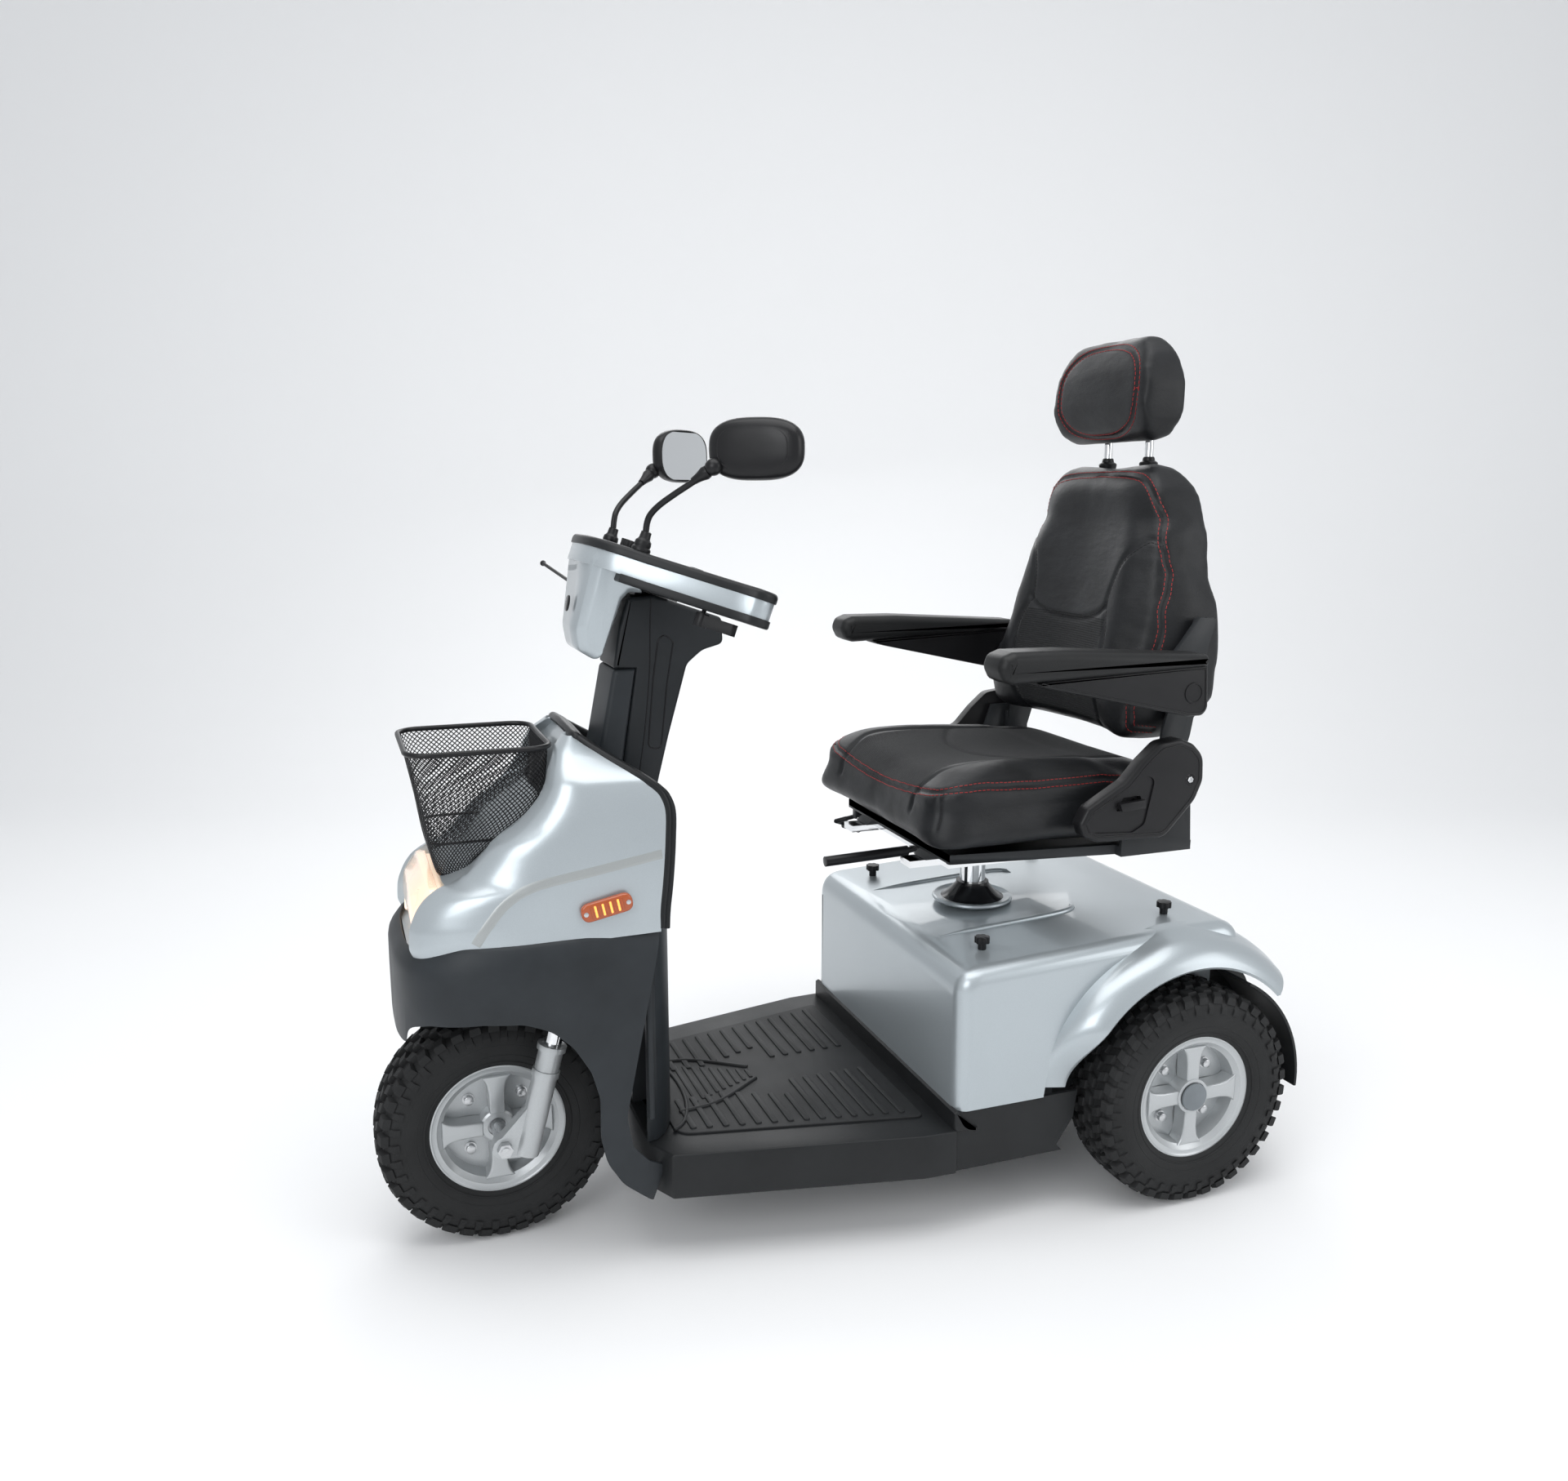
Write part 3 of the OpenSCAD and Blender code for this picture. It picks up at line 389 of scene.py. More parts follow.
def slab(name, outline, low, high, material, plane="side", fillet=(3, 3), steps=4, turn=None):
    # an outline drawn out from low to high, with a rounded edge at each end
    place = placer(plane)
    rings = []
    for end, sign, radius in ((low, 1, fillet[0]), (high, -1, fillet[1])):
        ring = []
        for k in range(steps + 1 if radius else 1):
            angle = math.pi / 2 * k / steps
            inset = radius * (1 - math.sin(angle)) if radius else 0
            depth = end + sign * radius * (1 - math.cos(angle))
            ring.append([place(a, b, depth) for a, b in shrunk(outline, inset)])
        rings += ring if sign == 1 else ring[::-1]
    count = len(outline)
    verts = [v for ring in rings for v in ring]
    if turn:
        verts = [turn(v) for v in verts]
    return objectFrom(name, verts, quads(len(rings), count, count) + endFaces(len(rings), count), material)


def gridPiece(name, rows, material, angle=40, closed=False, caps=False):
    count = len(rows[0])
    verts = [v for row in rows for v in row]
    faces = quads(len(rows), count, count if closed else count - 1)
    if caps:
        faces += endFaces(len(rows), count)
    return objectFrom(name, verts, faces, material, angle)


def revolved(name, profile, center, axis, material, steps=64, angle=32):
    # profile is (distance along the axis, radius) pairs, in mm
    axis = Vector(axis).normalized()
    side = axis.orthogonal().normalized()
    other = axis.cross(side)
    rows = []
    for along, radius in profile:
        rows.append([Vector(center) + axis * along * mm + (side * math.cos(2 * math.pi * k / steps)
                     + other * math.sin(2 * math.pi * k / steps)) * max(radius, 0.001) * mm
                     for k in range(steps)])
    return gridPiece(name, rows, material, angle, closed=True, caps=profile[0] != profile[-1])


def smoothPath(points, steps=8):
    # a Catmull-Rom curve through the points
    pts = [Vector(p) for p in points]
    pts = [2 * pts[0] - pts[1]] + pts + [2 * pts[-1] - pts[-2]]
    path = []
    for a, b, c, d in zip(pts, pts[1:], pts[2:], pts[3:]):
        for k in range(steps):
            t = k / steps
            path.append(0.5 * (2 * b + (c - a) * t + (2 * a - 5 * b + 4 * c - d) * t ** 2
                               + (3 * b - a - 3 * c + d) * t ** 3))
    return path + [pts[-2]]


def tube(name, path, radius, material, sides=14, closed=False):
    # radius is in mm, one number or a function of the share of the way along
    rows = []
    normal = None
    count = len(path)
    for i, point in enumerate(path):
        tangent = (path[(i + 1) % count if closed else min(i + 1, count - 1)]
                   - path[i - 1 if closed else max(i - 1, 0)]).normalized()
        if normal is None:
            normal = tangent.orthogonal().normalized()
        normal = (normal - tangent * normal.dot(tangent)).normalized()
        other = tangent.cross(normal)
        r = (radius(i / (count - 1)) if callable(radius) else radius) * mm
        rows.append([point + (normal * math.cos(2 * math.pi * k / sides)
                     + other * math.sin(2 * math.pi * k / sides)) * r for k in range(sides)])
    if closed:
        rows.append(rows[0])
    return gridPiece(name, rows, material, 50, closed=True, caps=not closed)


def curveOf(pairs):
    # a smooth function through (t, value) pairs, without overshoot
    ts = np.array([p[0] for p in pairs], float)
    vs = np.array([p[1] for p in pairs], float)
    slopes = np.diff(vs) / np.diff(ts)
    tangents = np.zeros(len(ts))
    tangents[0], tangents[-1] = slopes[0], slopes[-1]
    for i in range(1, len(ts) - 1):
        if slopes[i - 1] * slopes[i] > 0:
            tangents[i] = 2 / (1 / slopes[i - 1] + 1 / slopes[i])

    def value(t):
        t = min(max(t, ts[0]), ts[-1])
        i = min(int(np.searchsorted(ts, t, side="right")) - 1, len(ts) - 2)
        h = ts[i + 1] - ts[i]
        s = (t - ts[i]) / h
        return ((2 * s ** 3 - 3 * s ** 2 + 1) * vs[i] + (s ** 3 - 2 * s ** 2 + s) * h * tangents[i]
                + (3 * s ** 2 - 2 * s ** 3) * vs[i + 1] + (s ** 3 - s ** 2) * h * tangents[i + 1])
    return value


def smoothStep(low, high, value):
    t = min(max((value - low) / (high - low), 0), 1)
    return t * t * (3 - 2 * t)


def finished(piece, body, slot, *replaced):
    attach(piece, body)
    if replaced:
        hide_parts(*replaced)
    return piece


def looseCopy(node, name):
    # a CAD part's mesh as an object of its own
    piece = nodes[node].copy()
    piece.data = nodes[node].data.copy()
    piece.name = name
    for key in list(piece.keys()):
        del piece[key]
    piece.parent = None
    bpy.context.scene.collection.objects.link(piece)
    return piece


def welded(piece, flat=0):
    # merges doubled points, and dissolves edges between faces that turn by less than flat degrees
    bm = bmesh.new()
    bm.from_mesh(piece.data)
    bmesh.ops.remove_doubles(bm, verts=bm.verts, dist=0.00002)
    if flat:
        bmesh.ops.dissolve_limit(bm, angle_limit=math.radians(flat), verts=bm.verts, edges=bm.edges)
    bm.to_mesh(piece.data)
    bm.free()


def bevelled(piece, width, segments, angle):
    edge = piece.modifiers.new("bevel", "BEVEL")
    edge.width = width * mm
    edge.segments = segments
    edge.limit_method = "ANGLE"
    edge.angle_limit = math.radians(angle)
    applied(piece)


def walled(piece, thickness):
    # gives a skin its wall, inwards
    wall = piece.modifiers.new("wall", "SOLIDIFY")
    wall.thickness = thickness * mm
    wall.offset = -1
    applied(piece)


def copyOf(node, material, bevel, segments):
    # a CAD part with its edges softened
    piece = looseCopy(node, node + "Moulded")
    welded(piece, 1)
    piece.data.materials.clear()
    piece.data.materials.append(material)
    bevelled(piece, bevel, segments, 38)
    smoothShade(piece.data)
    return finished(piece, bodyOf[node], slotOf[node], node)


# CAD parts that keep their shape and take a better finish

plainFinish = {
    "chassis_frame": "frame", "batteries": "battery", "transaxle": "cast", "axle_shaft_left": "zinc",
    "axle_shaft_right": "zinc", "steering_stem": "frame", "fork_stanchions": "chrome", "front_axle": "zinc",
    "tiller_tube": "frame", "seat_pedestal": "chrome", "headrest_posts": "chrome",
    "headlight_housing": "gloss", "mirror_glass_left": "mirrorGlass", "mirror_glass_right": "mirrorGlass",
}
for nodeName, finishName in plainFinish.items():
    nodes[nodeName].data.materials.clear()
    nodes[nodeName].data.materials.append(finish[finishName])

softened = {
    "platform": ("floor", 6, 3), "leg_shield": ("shroud", 2, 2),
    "rear_underbody": ("floor", 2, 2), "cover_knobs": ("knob", 0.8, 2), "tail_lights": ("red", 1.5, 2),
    "fork_legs": ("wheel", 2.0, 3), "hub_cap_left": ("cap", 1.2, 3), "hub_cap_right": ("cap", 1.2, 3),
    "speed_dial": ("knob", 0.6, 2), "throttle_lever_left": ("knob", 1.5, 2),
    "throttle_lever_right": ("knob", 1.5, 2), "hand_brake_lever": ("knob", 0.5, 2),
    "swivel_lever": ("knob", 1.5, 3), "slide_lever": ("knob", 1, 2), "recline_lever": ("knob", 1, 2),
    "back_frame": ("frame", 1.0, 2),
}
for nodeName, (finishName, bevel, segments) in softened.items():
    copyOf(nodeName, finish[finishName], bevel, segments)
panShape = {"low": 520, "high": 538, "front": 350, "post": 110, "half": 180}
seatPan = copyOf("seat_frame", finish["frame"], 1, 2)
for vertex in seatPan.data.vertices:
    # the pan's flange is drawn in, so that the cushion hides it
    x, y, z = placeOf(vertex.co)
    if panShape["low"] < z < panShape["high"]:
        vertex.co.x = axleX + min(x, panShape["front"]) * mm
        if x > panShape["post"]:
            vertex.co.y = max(-panShape["half"], min(panShape["half"], y)) * mm
print("CAD parts finished")

# body shells

cowlShape = {"low": 453, "high": 724, "lip": 472, "rows": 70, "wall": 3.5, "sideShare": 0.5,
             "noseShare": 0.78}
cowlCurves = {
    "front": [(453, 1079), (470, 1084), (488, 1083), (512, 1075), (530, 1063), (541, 1048), (549, 1026),
              (560, 1009), (575, 994), (598, 974), (622, 940), (644, 917), (668, 901), (692, 892), (710, 882),
              (724, 868)],
    "rear": [(453, 766), (473, 766), (557, 757), (630, 752), (650, 758), (668, 776), (696, 818), (719, 852),
             (724, 858)],
    "width": [(453, 172), (473, 171), (520, 169), (620, 160), (668, 149), (702, 117), (724, 84)],
    "noseBack": [(453, 150), (520, 140), (560, 116), (600, 88), (660, 52), (724, 8)],
    "noseIn": [(453, 84), (541, 78), (580, 66), (650, 46), (700, 26), (724, 22)],
    "bay": [(541, 112), (640, 112), (690, 96), (724, 60)],
}
cowlLine = {key: curveOf(pairs) for key, pairs in cowlCurves.items()}


def cowlPoint(z, t):
    # t runs from 0 at the rear edge of one side to 1 at the middle of the nose
    sideShare, noseShare, low, lip = (cowlShape[key] for key in ("sideShare", "noseShare", "low", "lip"))
    front = cowlLine["front"](z)
    rear = cowlLine["rear"](z)
    width = cowlLine["width"](z)
    back = min(cowlLine["noseBack"](z), (front - rear) * 0.8)
    inward = cowlLine["noseIn"](z)
    if t < sideShare:
        s = t / sideShare
        x, y = rear + (front - back - rear) * s, width - 2.5 * (1 - s) ** 2
    elif t < noseShare:
        angle = math.pi / 2 * (t - sideShare) / (noseShare - sideShare)
        x = front - back * (1 - math.sin(angle) ** 0.9)
        y = width - inward * (1 - max(math.cos(angle), 0) ** 0.9)
    else:
        x, y = front, (width - inward) * (1 - (t - noseShare) / (1 - noseShare))
    if z < 545:
        recess = 44 * (1 - smoothStep(541, 546, z)) * smoothStep(455, 458, z) * smoothStep(107, 103, y)
    else:
        edge = cowlLine["bay"](z)
        recess = 15 * smoothStep(545, 560, z) * smoothStep(edge, edge - 8, y)
    bottom = lip - (lip - low) * (max(x - 1016, 0) / 63) ** 1.4
    z += (bottom - low) * (1 - smoothStep(low, 520, z))
    return at(x - recess, y, z)


def makeCowl():
    sideShare, noseShare, low, high, count = (cowlShape[key] for key in
                                              ("sideShare", "noseShare", "low", "high", "rows"))
    steps = [sideShare * k / 44 for k in range(44)]
    steps += [sideShare + (noseShare - sideShare) * k / 26 for k in range(26)]
    steps += [noseShare + (1 - noseShare) * k / 30 for k in range(31)]
    rows = []
    for i in range(count + 1):
        near = [cowlPoint(low + (high - low) * i / count, t) for t in steps]
        rows.append(near + otherSide(near[-2::-1]))
    cowl = gridPiece("silverCowl", rows, finish["silver"], 38)
    walled(cowl, cowlShape["wall"])
    smoothShade(cowl.data, 38)
    return finished(cowl, "chassis", "silver_paint", "front_cowl")


def paintGrooveShade():
    # painted shade: a darker strip of paint laid on the cowl stands in for the shade in the light groove that
    # runs along each side of the cowl and down to the nose
    path = smoothPath([(761, 0, 575), (850, 0, 562), (925, 0, 550), (962, 0, 532), (988, 0, 503),
                       (1003, 0, 481)], 10)
    tree = BVHTree.FromObject(bpy.data.objects["silverCowl"], bpy.context.evaluated_depsgraph_get())
    rows = []
    for i, point in enumerate(path):
        along = (path[min(i + 1, len(path) - 1)] - path[max(i - 1, 0)]).normalized()
        across = Vector((along.z, 0, -along.x))
        row = []
        for k in range(7):
            offset = point + across * (-7.5 + 2.5 * k)
            start = at(offset.x, 260, offset.z)
            hit, normal, index, far = tree.ray_cast(start, Vector((0, -1, 0)))
            lift = 0.5 if 0 < k < 6 else -0.6
            row.append(hit + normal * lift * mm if hit else at(offset.x, 168, offset.z))
        rows.append(row)
    # both strips carry the painted shade of the groove
    for side, suffix in ((1, "Left"), (-1, "Right")):
        turned = [otherSide(row, side) for row in rows]
        finished(gridPiece("cowlGrooveShade" + suffix, turned, finish["grooveShade"], 60), "chassis", "silver_paint")


def makeTrim():
    # rubber bead round the opening of the cowl, from one lower rear corner over the top to the other
    heights = [476, 500, 530, 560, 595, 630, 650, 660, 668, 680, 696, 710, 719, 723]
    near = [at(cowlLine["rear"](z) - 2, cowlLine["width"](z) - 5 - 2.5, z) for z in heights]
    path = smoothPath(near + [at(857, 40, 727), at(858, 0, 729), at(857, -40, 727)]
                      + otherSide(near[::-1]), 6)
    bead = tube("cowlBead", path, 6.5, finish["trim"], 16)
    lip = tube("cowlBeadLip", [v + Vector((-0.007, 0, -0.002)) for v in path], 4.5, finish["trim"], 12)
    finished(joined("cowlTrimBead", [bead, lip]), "chassis", "trim_rubber", "cowl_trim")


def nosePlan(inset):
    nose = 1100 - inset
    side = [(768, 172 - inset), (800, 177 - inset), (860, 184 - inset), (900, 186 - inset)]
    for i in range(1, 15):
        angle = math.radians(90 - 90 * i / 14)
        side.append((930 + (nose - 930) * math.cos(angle) ** 0.8, (186 - inset) * math.sin(angle) ** 0.62))
    side[-1] = (nose, 0)
    return side


def makeShroud():
    levels = [(92, 3.5), (96, 1.0), (104, 0), (300, 0), (400, 0), (436, 0.5), (448, 2), (458, 4.4),
              (466, 7.4), (472, 10), (476, 13), (478, 17)]
    rows = []
    for z, inset in levels:
        half = smoothPath([Vector((x, y, 0)) for x, y in nosePlan(inset)], 4)
        ring = []
        for v in half:
            drop = 0 if z < 440 else (z - 440) / 38 * 20 * smoothStep(1010, 1100, v.x)
            ring.append(at(v.x, v.y, z - drop))
        rows.append(ring + otherSide(ring[-2::-1]))
    shroud = gridPiece("lowerShroud", rows, finish["shroud"], 60)
    walled(shroud, 4)
    arch = [(1200, 40), (1200, 338), (1090, 338), (1086, 366), (1062, 376), (1000, 380), (950, 376),
            (915, 361), (888, 334), (866, 296), (855, 256), (856, 200), (848, 163), (827, 128), (786, 92),
            (786, 40)]
    arch = rounded(arch, [0, 0, 6, 30, 30, 30, 60, 60, 60, 60, 60, 60, 60, 60, 0, 0])
    cutBy(shroud, slab("archCutter", arch, -260, 260, finish["shroud"], "side", (0, 0)))
    rear = rounded([(640, 30), (784, 30), (784, 96), (768, 140), (790, 152), (812, 178), (820, 222),
                    (789, 366), (768, 462), (767, 560), (640, 560)], [0, 0, 8, 6, 30, 30, 60, 60, 60, 0, 0])
    cutBy(shroud, slab("rearCutter", rear, -260, 260, finish["shroud"], "side", (0, 0)))
    bevelled(shroud, 1.4, 3, 50)
    smoothShade(shroud.data, 32)
    finished(shroud, "chassis", "shroud_plastic", "front_shroud")


coverShape = {"half": 262, "front": 372, "rear": -104, "round": 24, "arch": (5, 170), "archRadius": 229,
              "bottom": 188}


def makeCover():
    shape = coverShape
    front, rear = shape["front"], shape["rear"]
    outline = rounded([(front, 120), (front, 391), (0, 411), (rear, 412), (rear, 120)], [0, 40, 0, 44, 0], 8)
    cover = slab("rearCover", outline, -shape["half"], shape["half"], finish["silver"], "side",
                 (shape["round"], shape["round"]), 8)
    base = [(-500, 60), (500, 60), (500, shape["bottom"]), (-500, shape["bottom"])]
    cutBy(cover, slab("baseCutter", base, -400, 400, finish["silver"], "side", (0, 0)))
    archX, archZ = shape["arch"]
    radius = shape["archRadius"]
    turns = [math.radians(degrees) for degrees in range(0, 360, 5)]
    ring = [(archX + radius * math.cos(turn), archZ + radius * math.sin(turn)) for turn in turns]
    for side in (1, -1):
        low, high = (190, 330) if side > 0 else (-330, -190)
        cutBy(cover, slab("archCutter", ring, low, high, finish["silver"], "side", (0, 0)))
        block = [(-400, 100), (166, 100), (166, 276), (-400, 276)]
        cutBy(cover, slab("blockCutter", block, low, high, finish["silver"], "side", (0, 0)))
    inner = rounded([(366, 100), (366, 384), (0, 404), (-74, 404), (-92, 380), (-160, 330), (-160, 100)],
                    [0, 44, 0, 20, 20, 0, 0], 6)
    cutBy(cover, slab("innerCutter", inner, -186, 186, finish["silver"], "side", (0, 0)))
    smoothShade(cover.data, 30)
    wings = [makeWing(side) for side in (1, -1)]
    ridges = [makeRidge(side) for side in (1, -1)]
    finished(joined("rearCoverShell", [cover] + wings + ridges), "chassis", "silver_paint", "body_cover")


def makeWing(side):
    centerX, centerZ = coverShape["arch"]
    profile = smoothPath([(230, 243, 0), (248, 240, 0), (262, 235.5, 0), (278, 230, 0), (292, 221, 0),
                          (302, 209, 0),
                          (307, 198, 0)], 5)
    back = [Vector((v.x - (3.4 if v.x > 262 else 0), v.y - 4, 0)) for v in profile[::-1]]
    loop = profile + back
    rows = []
    for k in range(67):
        degrees = 8 + 128 * k / 66
        spread = smoothStep(8, 40, degrees)
        angle = math.radians(degrees)
        ring = []
        for v in loop:
            y = min(v.x, 258) + max(v.x - 258, 0) * (0.06 + 0.94 * spread)
            ring.append(at(centerX + v.y * math.cos(angle), side * y, centerZ + v.y * math.sin(angle)))
        rows.append(ring)
    return gridPiece("coverWing", rows, finish["silver"], 50, closed=True, caps=True)


def makeRidge(side):
    # a low raised rib on the cover, beside the seat post
    path = smoothPath([at(330, side * 118, 393), at(240, side * 118, 398.2), at(140, side * 116, 403.6),
                       at(100, side * 108, 405.6), at(90, side * 90, 406)], 8)

    def thickness(t):
        return 4.5 * min(1, 6 * t + 0.2, 6 * (1 - t) + 0.2)

    return tube("coverRidge", path, thickness, finish["silver"], 10)


def makeFlange():
    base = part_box("seat_flange")
    middle = Vector(((base[0].x + base[1].x) / 2, 0, 0))
    ring = revolved("flangeRing",
                    [(0, 21), (0, 58), (1.2, 61.5), (3.5, 63), (6, 62.4), (7.2, 60), (6.4, 56.5),
                    (5.0, 54), (5.0, 22)], middle + Vector((0, 0, 0.4034)), (0, 0, 1), finish["silver"], 96)
    cone = [(4, 21.2), (4, 52)]
    cone += [(4 + 22 * k / 10, 52 - 22 * (k / 10) ** 0.62 - 4 * k / 10) for k in range(1, 11)]
    boot = revolved("flangeBoot", cone + [(30, 25.2), (30, 21.2)], middle + Vector((0, 0, 0.4034)), (0, 0, 1),
                    finish["gloss"], 96)
    finished(joined("seatFlangeBoot", [ring, boot]), "chassis", "flange_black", "seat_flange")


def makeSill():
    # the raised bead where the floor meets the rear cover
    outline = smoothPath([(338, 161, 0), (350, 164, 0), (358, 170, 0), (364, 181, 0), (367, 188, 0),
                          (371, 190.5, 0)], 4)
    loop = [(v.x, v.y) for v in outline] + [(376, 188), (376, 160)]
    finished(slab("coverSill", loop, -263, 263, finish["floor"], "side", (4, 4)), "chassis", "floor_plastic")


matShape = {"top": 166, "ribs": 14, "firstRib": 716, "ribPitch": 22.5, "bars": 9, "firstBar": 690,
            "barPitch": 12.5}


def makeMat():
    shape = matShape
    top = shape["top"]
    outline = rounded([(742, 142), (742, -142), (398, -214), (398, 214)], [30, 30, 10, 10], 6)
    sheet = slab("matSheet", outline, 163.2, top, finish["mat"], "plan", (0, 1.2))
    pieces = [sheet]
    for k in range(shape["ribs"]):
        x = shape["firstRib"] - shape["ribPitch"] * k
        half = 132 + 0.2 * (742 - x)
        start = 46 + max(0, 9 * (k - 3)) if k < 8 else 40
        for side in (1, -1):
            rib = roundedBox(x, side * (start + half) / 2, 4.5, (half - start) / 2, 3.5)
            pieces.append(slab("matRib", rib, top - 1, top + 2.2, finish["mat"], "plan", (0, 1.4), 2))
    for k in range(shape["bars"]):
        rib = roundedBox(shape["firstBar"] - shape["barPitch"] * k, 0, 3, 62 - 6 * k, 2.5)
        pieces.append(slab("matRib", rib, top - 1, top + 1.6, finish["mat"], "plan", (0, 1), 2))
    for side in (1, -1):
        edge = smoothPath([at(722, side * 84, top + 0.4), at(660, side * 72, top + 0.4),
                           at(585, side * 20, top + 0.4)], 10)
        pieces.append(tube("matBead", edge, 3.2, finish["mat"], 10))
    arc = [at(750 - 50 * math.sin(math.radians(a)), 132 * math.cos(math.radians(a)), top + 0.3)
           for a in range(8, 173, 6)]
    pieces.append(tube("matBead", arc, 3.0, finish["mat"], 10))
    finished(joined("floorMatRibbed", pieces), "chassis", "mat_rubber", "floor_mat")


makeCowl()
paintGrooveShade()
makeTrim()
makeShroud()
makeCover()
makeFlange()
makeSill()
makeMat()
print("body shells made")

# repeats made with geometry nodes

def nodeTree(name, sockets):
    tree = bpy.data.node_groups.new(name, "GeometryNodeTree")
    tree.interface.new_socket("Geometry", in_out="INPUT", socket_type="NodeSocketGeometry")
    found = {}
    for label, kind in {**sockets, "Material": "NodeSocketMaterial"}.items():
        found[label] = tree.interface.new_socket(label, in_out="INPUT", socket_type=kind).identifier
    tree.interface.new_socket("Geometry", in_out="OUTPUT", socket_type="NodeSocketGeometry")
    return tree, found


def joinNodes(tree, *pairs):
    for source, target in pairs:
        tree.links.new(source, target)


def endTree(tree, start, made):
    # the end that each tree has: real geometry in the given material
    real = tree.nodes.new("GeometryNodeRealizeInstances")
    paint = tree.nodes.new("GeometryNodeSetMaterial")
    end = tree.nodes.new("NodeGroupOutput")
    joinNodes(tree, (made, real.inputs["Geometry"]), (real.outputs["Geometry"], paint.inputs["Geometry"]),
              (start.outputs["Material"], paint.inputs["Material"]),
              (paint.outputs["Geometry"], end.inputs["Geometry"]))


def ringTree():
    # repeats a mesh around an axis through the origin, a number of times
    tree, sockets = nodeTree("aroundAxle", {"Count": "NodeSocketInt", "Axis": "NodeSocketVector"})
    n = tree.nodes
    start = n.new("NodeGroupInput")
    points = n.new("GeometryNodeMeshLine")
    instance = n.new("GeometryNodeInstanceOnPoints")
    index = n.new("GeometryNodeInputIndex")
    step = n.new("ShaderNodeMath")
    step.operation = "DIVIDE"
    step.inputs[0].default_value = 2 * math.pi
    angle = n.new("ShaderNodeMath")
    angle.operation = "MULTIPLY"
    turn = n.new("FunctionNodeAxisAngleToRotation")
    points.inputs["Offset"].default_value = (0, 0, 0)
    joinNodes(tree, (start.outputs["Count"], points.inputs["Count"]),
              (start.outputs["Count"], step.inputs[1]),
              (points.outputs["Mesh"], instance.inputs["Points"]),
              (start.outputs["Geometry"], instance.inputs["Instance"]),
              (index.outputs["Index"], angle.inputs[0]), (step.outputs["Value"], angle.inputs[1]),
              (start.outputs["Axis"], turn.inputs["Axis"]), (angle.outputs["Value"], turn.inputs["Angle"]),
              (turn.outputs["Rotation"], instance.inputs["Rotation"]))
    endTree(tree, start, instance.outputs["Instances"])
    return tree, sockets


def stitchTree():
    # short threads along the edges of a path
    tree, sockets = nodeTree("stitches",
                             {label: "NodeSocketFloat" for label in ("Pitch", "Length", "Thread")})
    n = tree.nodes
    start = n.new("NodeGroupInput")
    curve = n.new("GeometryNodeMeshToCurve")
    spaced = n.new("GeometryNodeCurveToPoints")
    spaced.mode = "LENGTH"
    thread = n.new("GeometryNodeMeshCylinder")
    thread.inputs["Vertices"].default_value = 6
    instance = n.new("GeometryNodeInstanceOnPoints")
    align = n.new("FunctionNodeAlignRotationToVector")
    align.axis = "Z"
    joinNodes(tree, (start.outputs["Geometry"], curve.inputs["Mesh"]),
              (curve.outputs["Curve"], spaced.inputs["Curve"]),
              (start.outputs["Pitch"], spaced.inputs["Length"]),
              (start.outputs["Thread"], thread.inputs["Radius"]),
              (start.outputs["Length"], thread.inputs["Depth"]),
              (spaced.outputs["Points"], instance.inputs["Points"]),
              (spaced.outputs["Tangent"], align.inputs["Vector"]),
              (align.outputs["Rotation"], instance.inputs["Rotation"]),
              (thread.outputs["Mesh"], instance.inputs["Instance"]))
    endTree(tree, start, instance.outputs["Instances"])
    return tree, sockets


def wireTree():
    # round wire along every edge path of a mesh
    tree, sockets = nodeTree("wires", {"Radius": "NodeSocketFloat", "Sides": "NodeSocketInt"})
    n = tree.nodes
    start = n.new("NodeGroupInput")
    curve = n.new("GeometryNodeMeshToCurve")
    circle = n.new("GeometryNodeCurvePrimitiveCircle")
    skin = n.new("GeometryNodeCurveToMesh")
    skin.inputs["Fill Caps"].default_value = True
    joinNodes(tree, (start.outputs["Geometry"], curve.inputs["Mesh"]),
              (curve.outputs["Curve"], skin.inputs["Curve"]),
              (start.outputs["Radius"], circle.inputs["Radius"]),
              (start.outputs["Sides"], circle.inputs["Resolution"]),
              (circle.outputs["Curve"], skin.inputs["Profile Curve"]))
    endTree(tree, start, skin.outputs["Mesh"])
    return tree, sockets


ringNodes, stitchNodes, wireNodes = ringTree(), stitchTree(), wireTree()


def grown(piece, treeAndSockets, **values):
    tree, sockets = treeAndSockets
    modifier = piece.modifiers.new("grow", "NODES")
    modifier.node_group = tree
    for label, value in values.items():
        modifier[sockets[label]] = value
    piece.update_tag()
    applied(piece)
    if not piece.data.materials:
        piece.data.materials.append(values["Material"])
    smoothShade(piece.data, 40)
    return piece


def pathsPiece(name, paths):
    # a mesh of edges only, one chain for each path
    verts, edges = [], []
    for path in paths:
        base = len(verts)
        verts += [tuple(v) for v in path]
        edges += [(base + i, base + i + 1) for i in range(len(path) - 1)]
    mesh = bpy.data.meshes.new(name)
    mesh.from_pydata(verts, edges, [])
    piece = bpy.data.objects.new(name, mesh)
    bpy.context.scene.collection.objects.link(piece)
    return piece


def shifted(piece, offset):
    for vertex in piece.data.vertices:
        vertex.co += offset
    return piece


# wheels

tyreShape = {"outer": 165, "blocks": 38}
rimShape = {"spokes": 4, "bolts": 4, "boltCircle": 52}


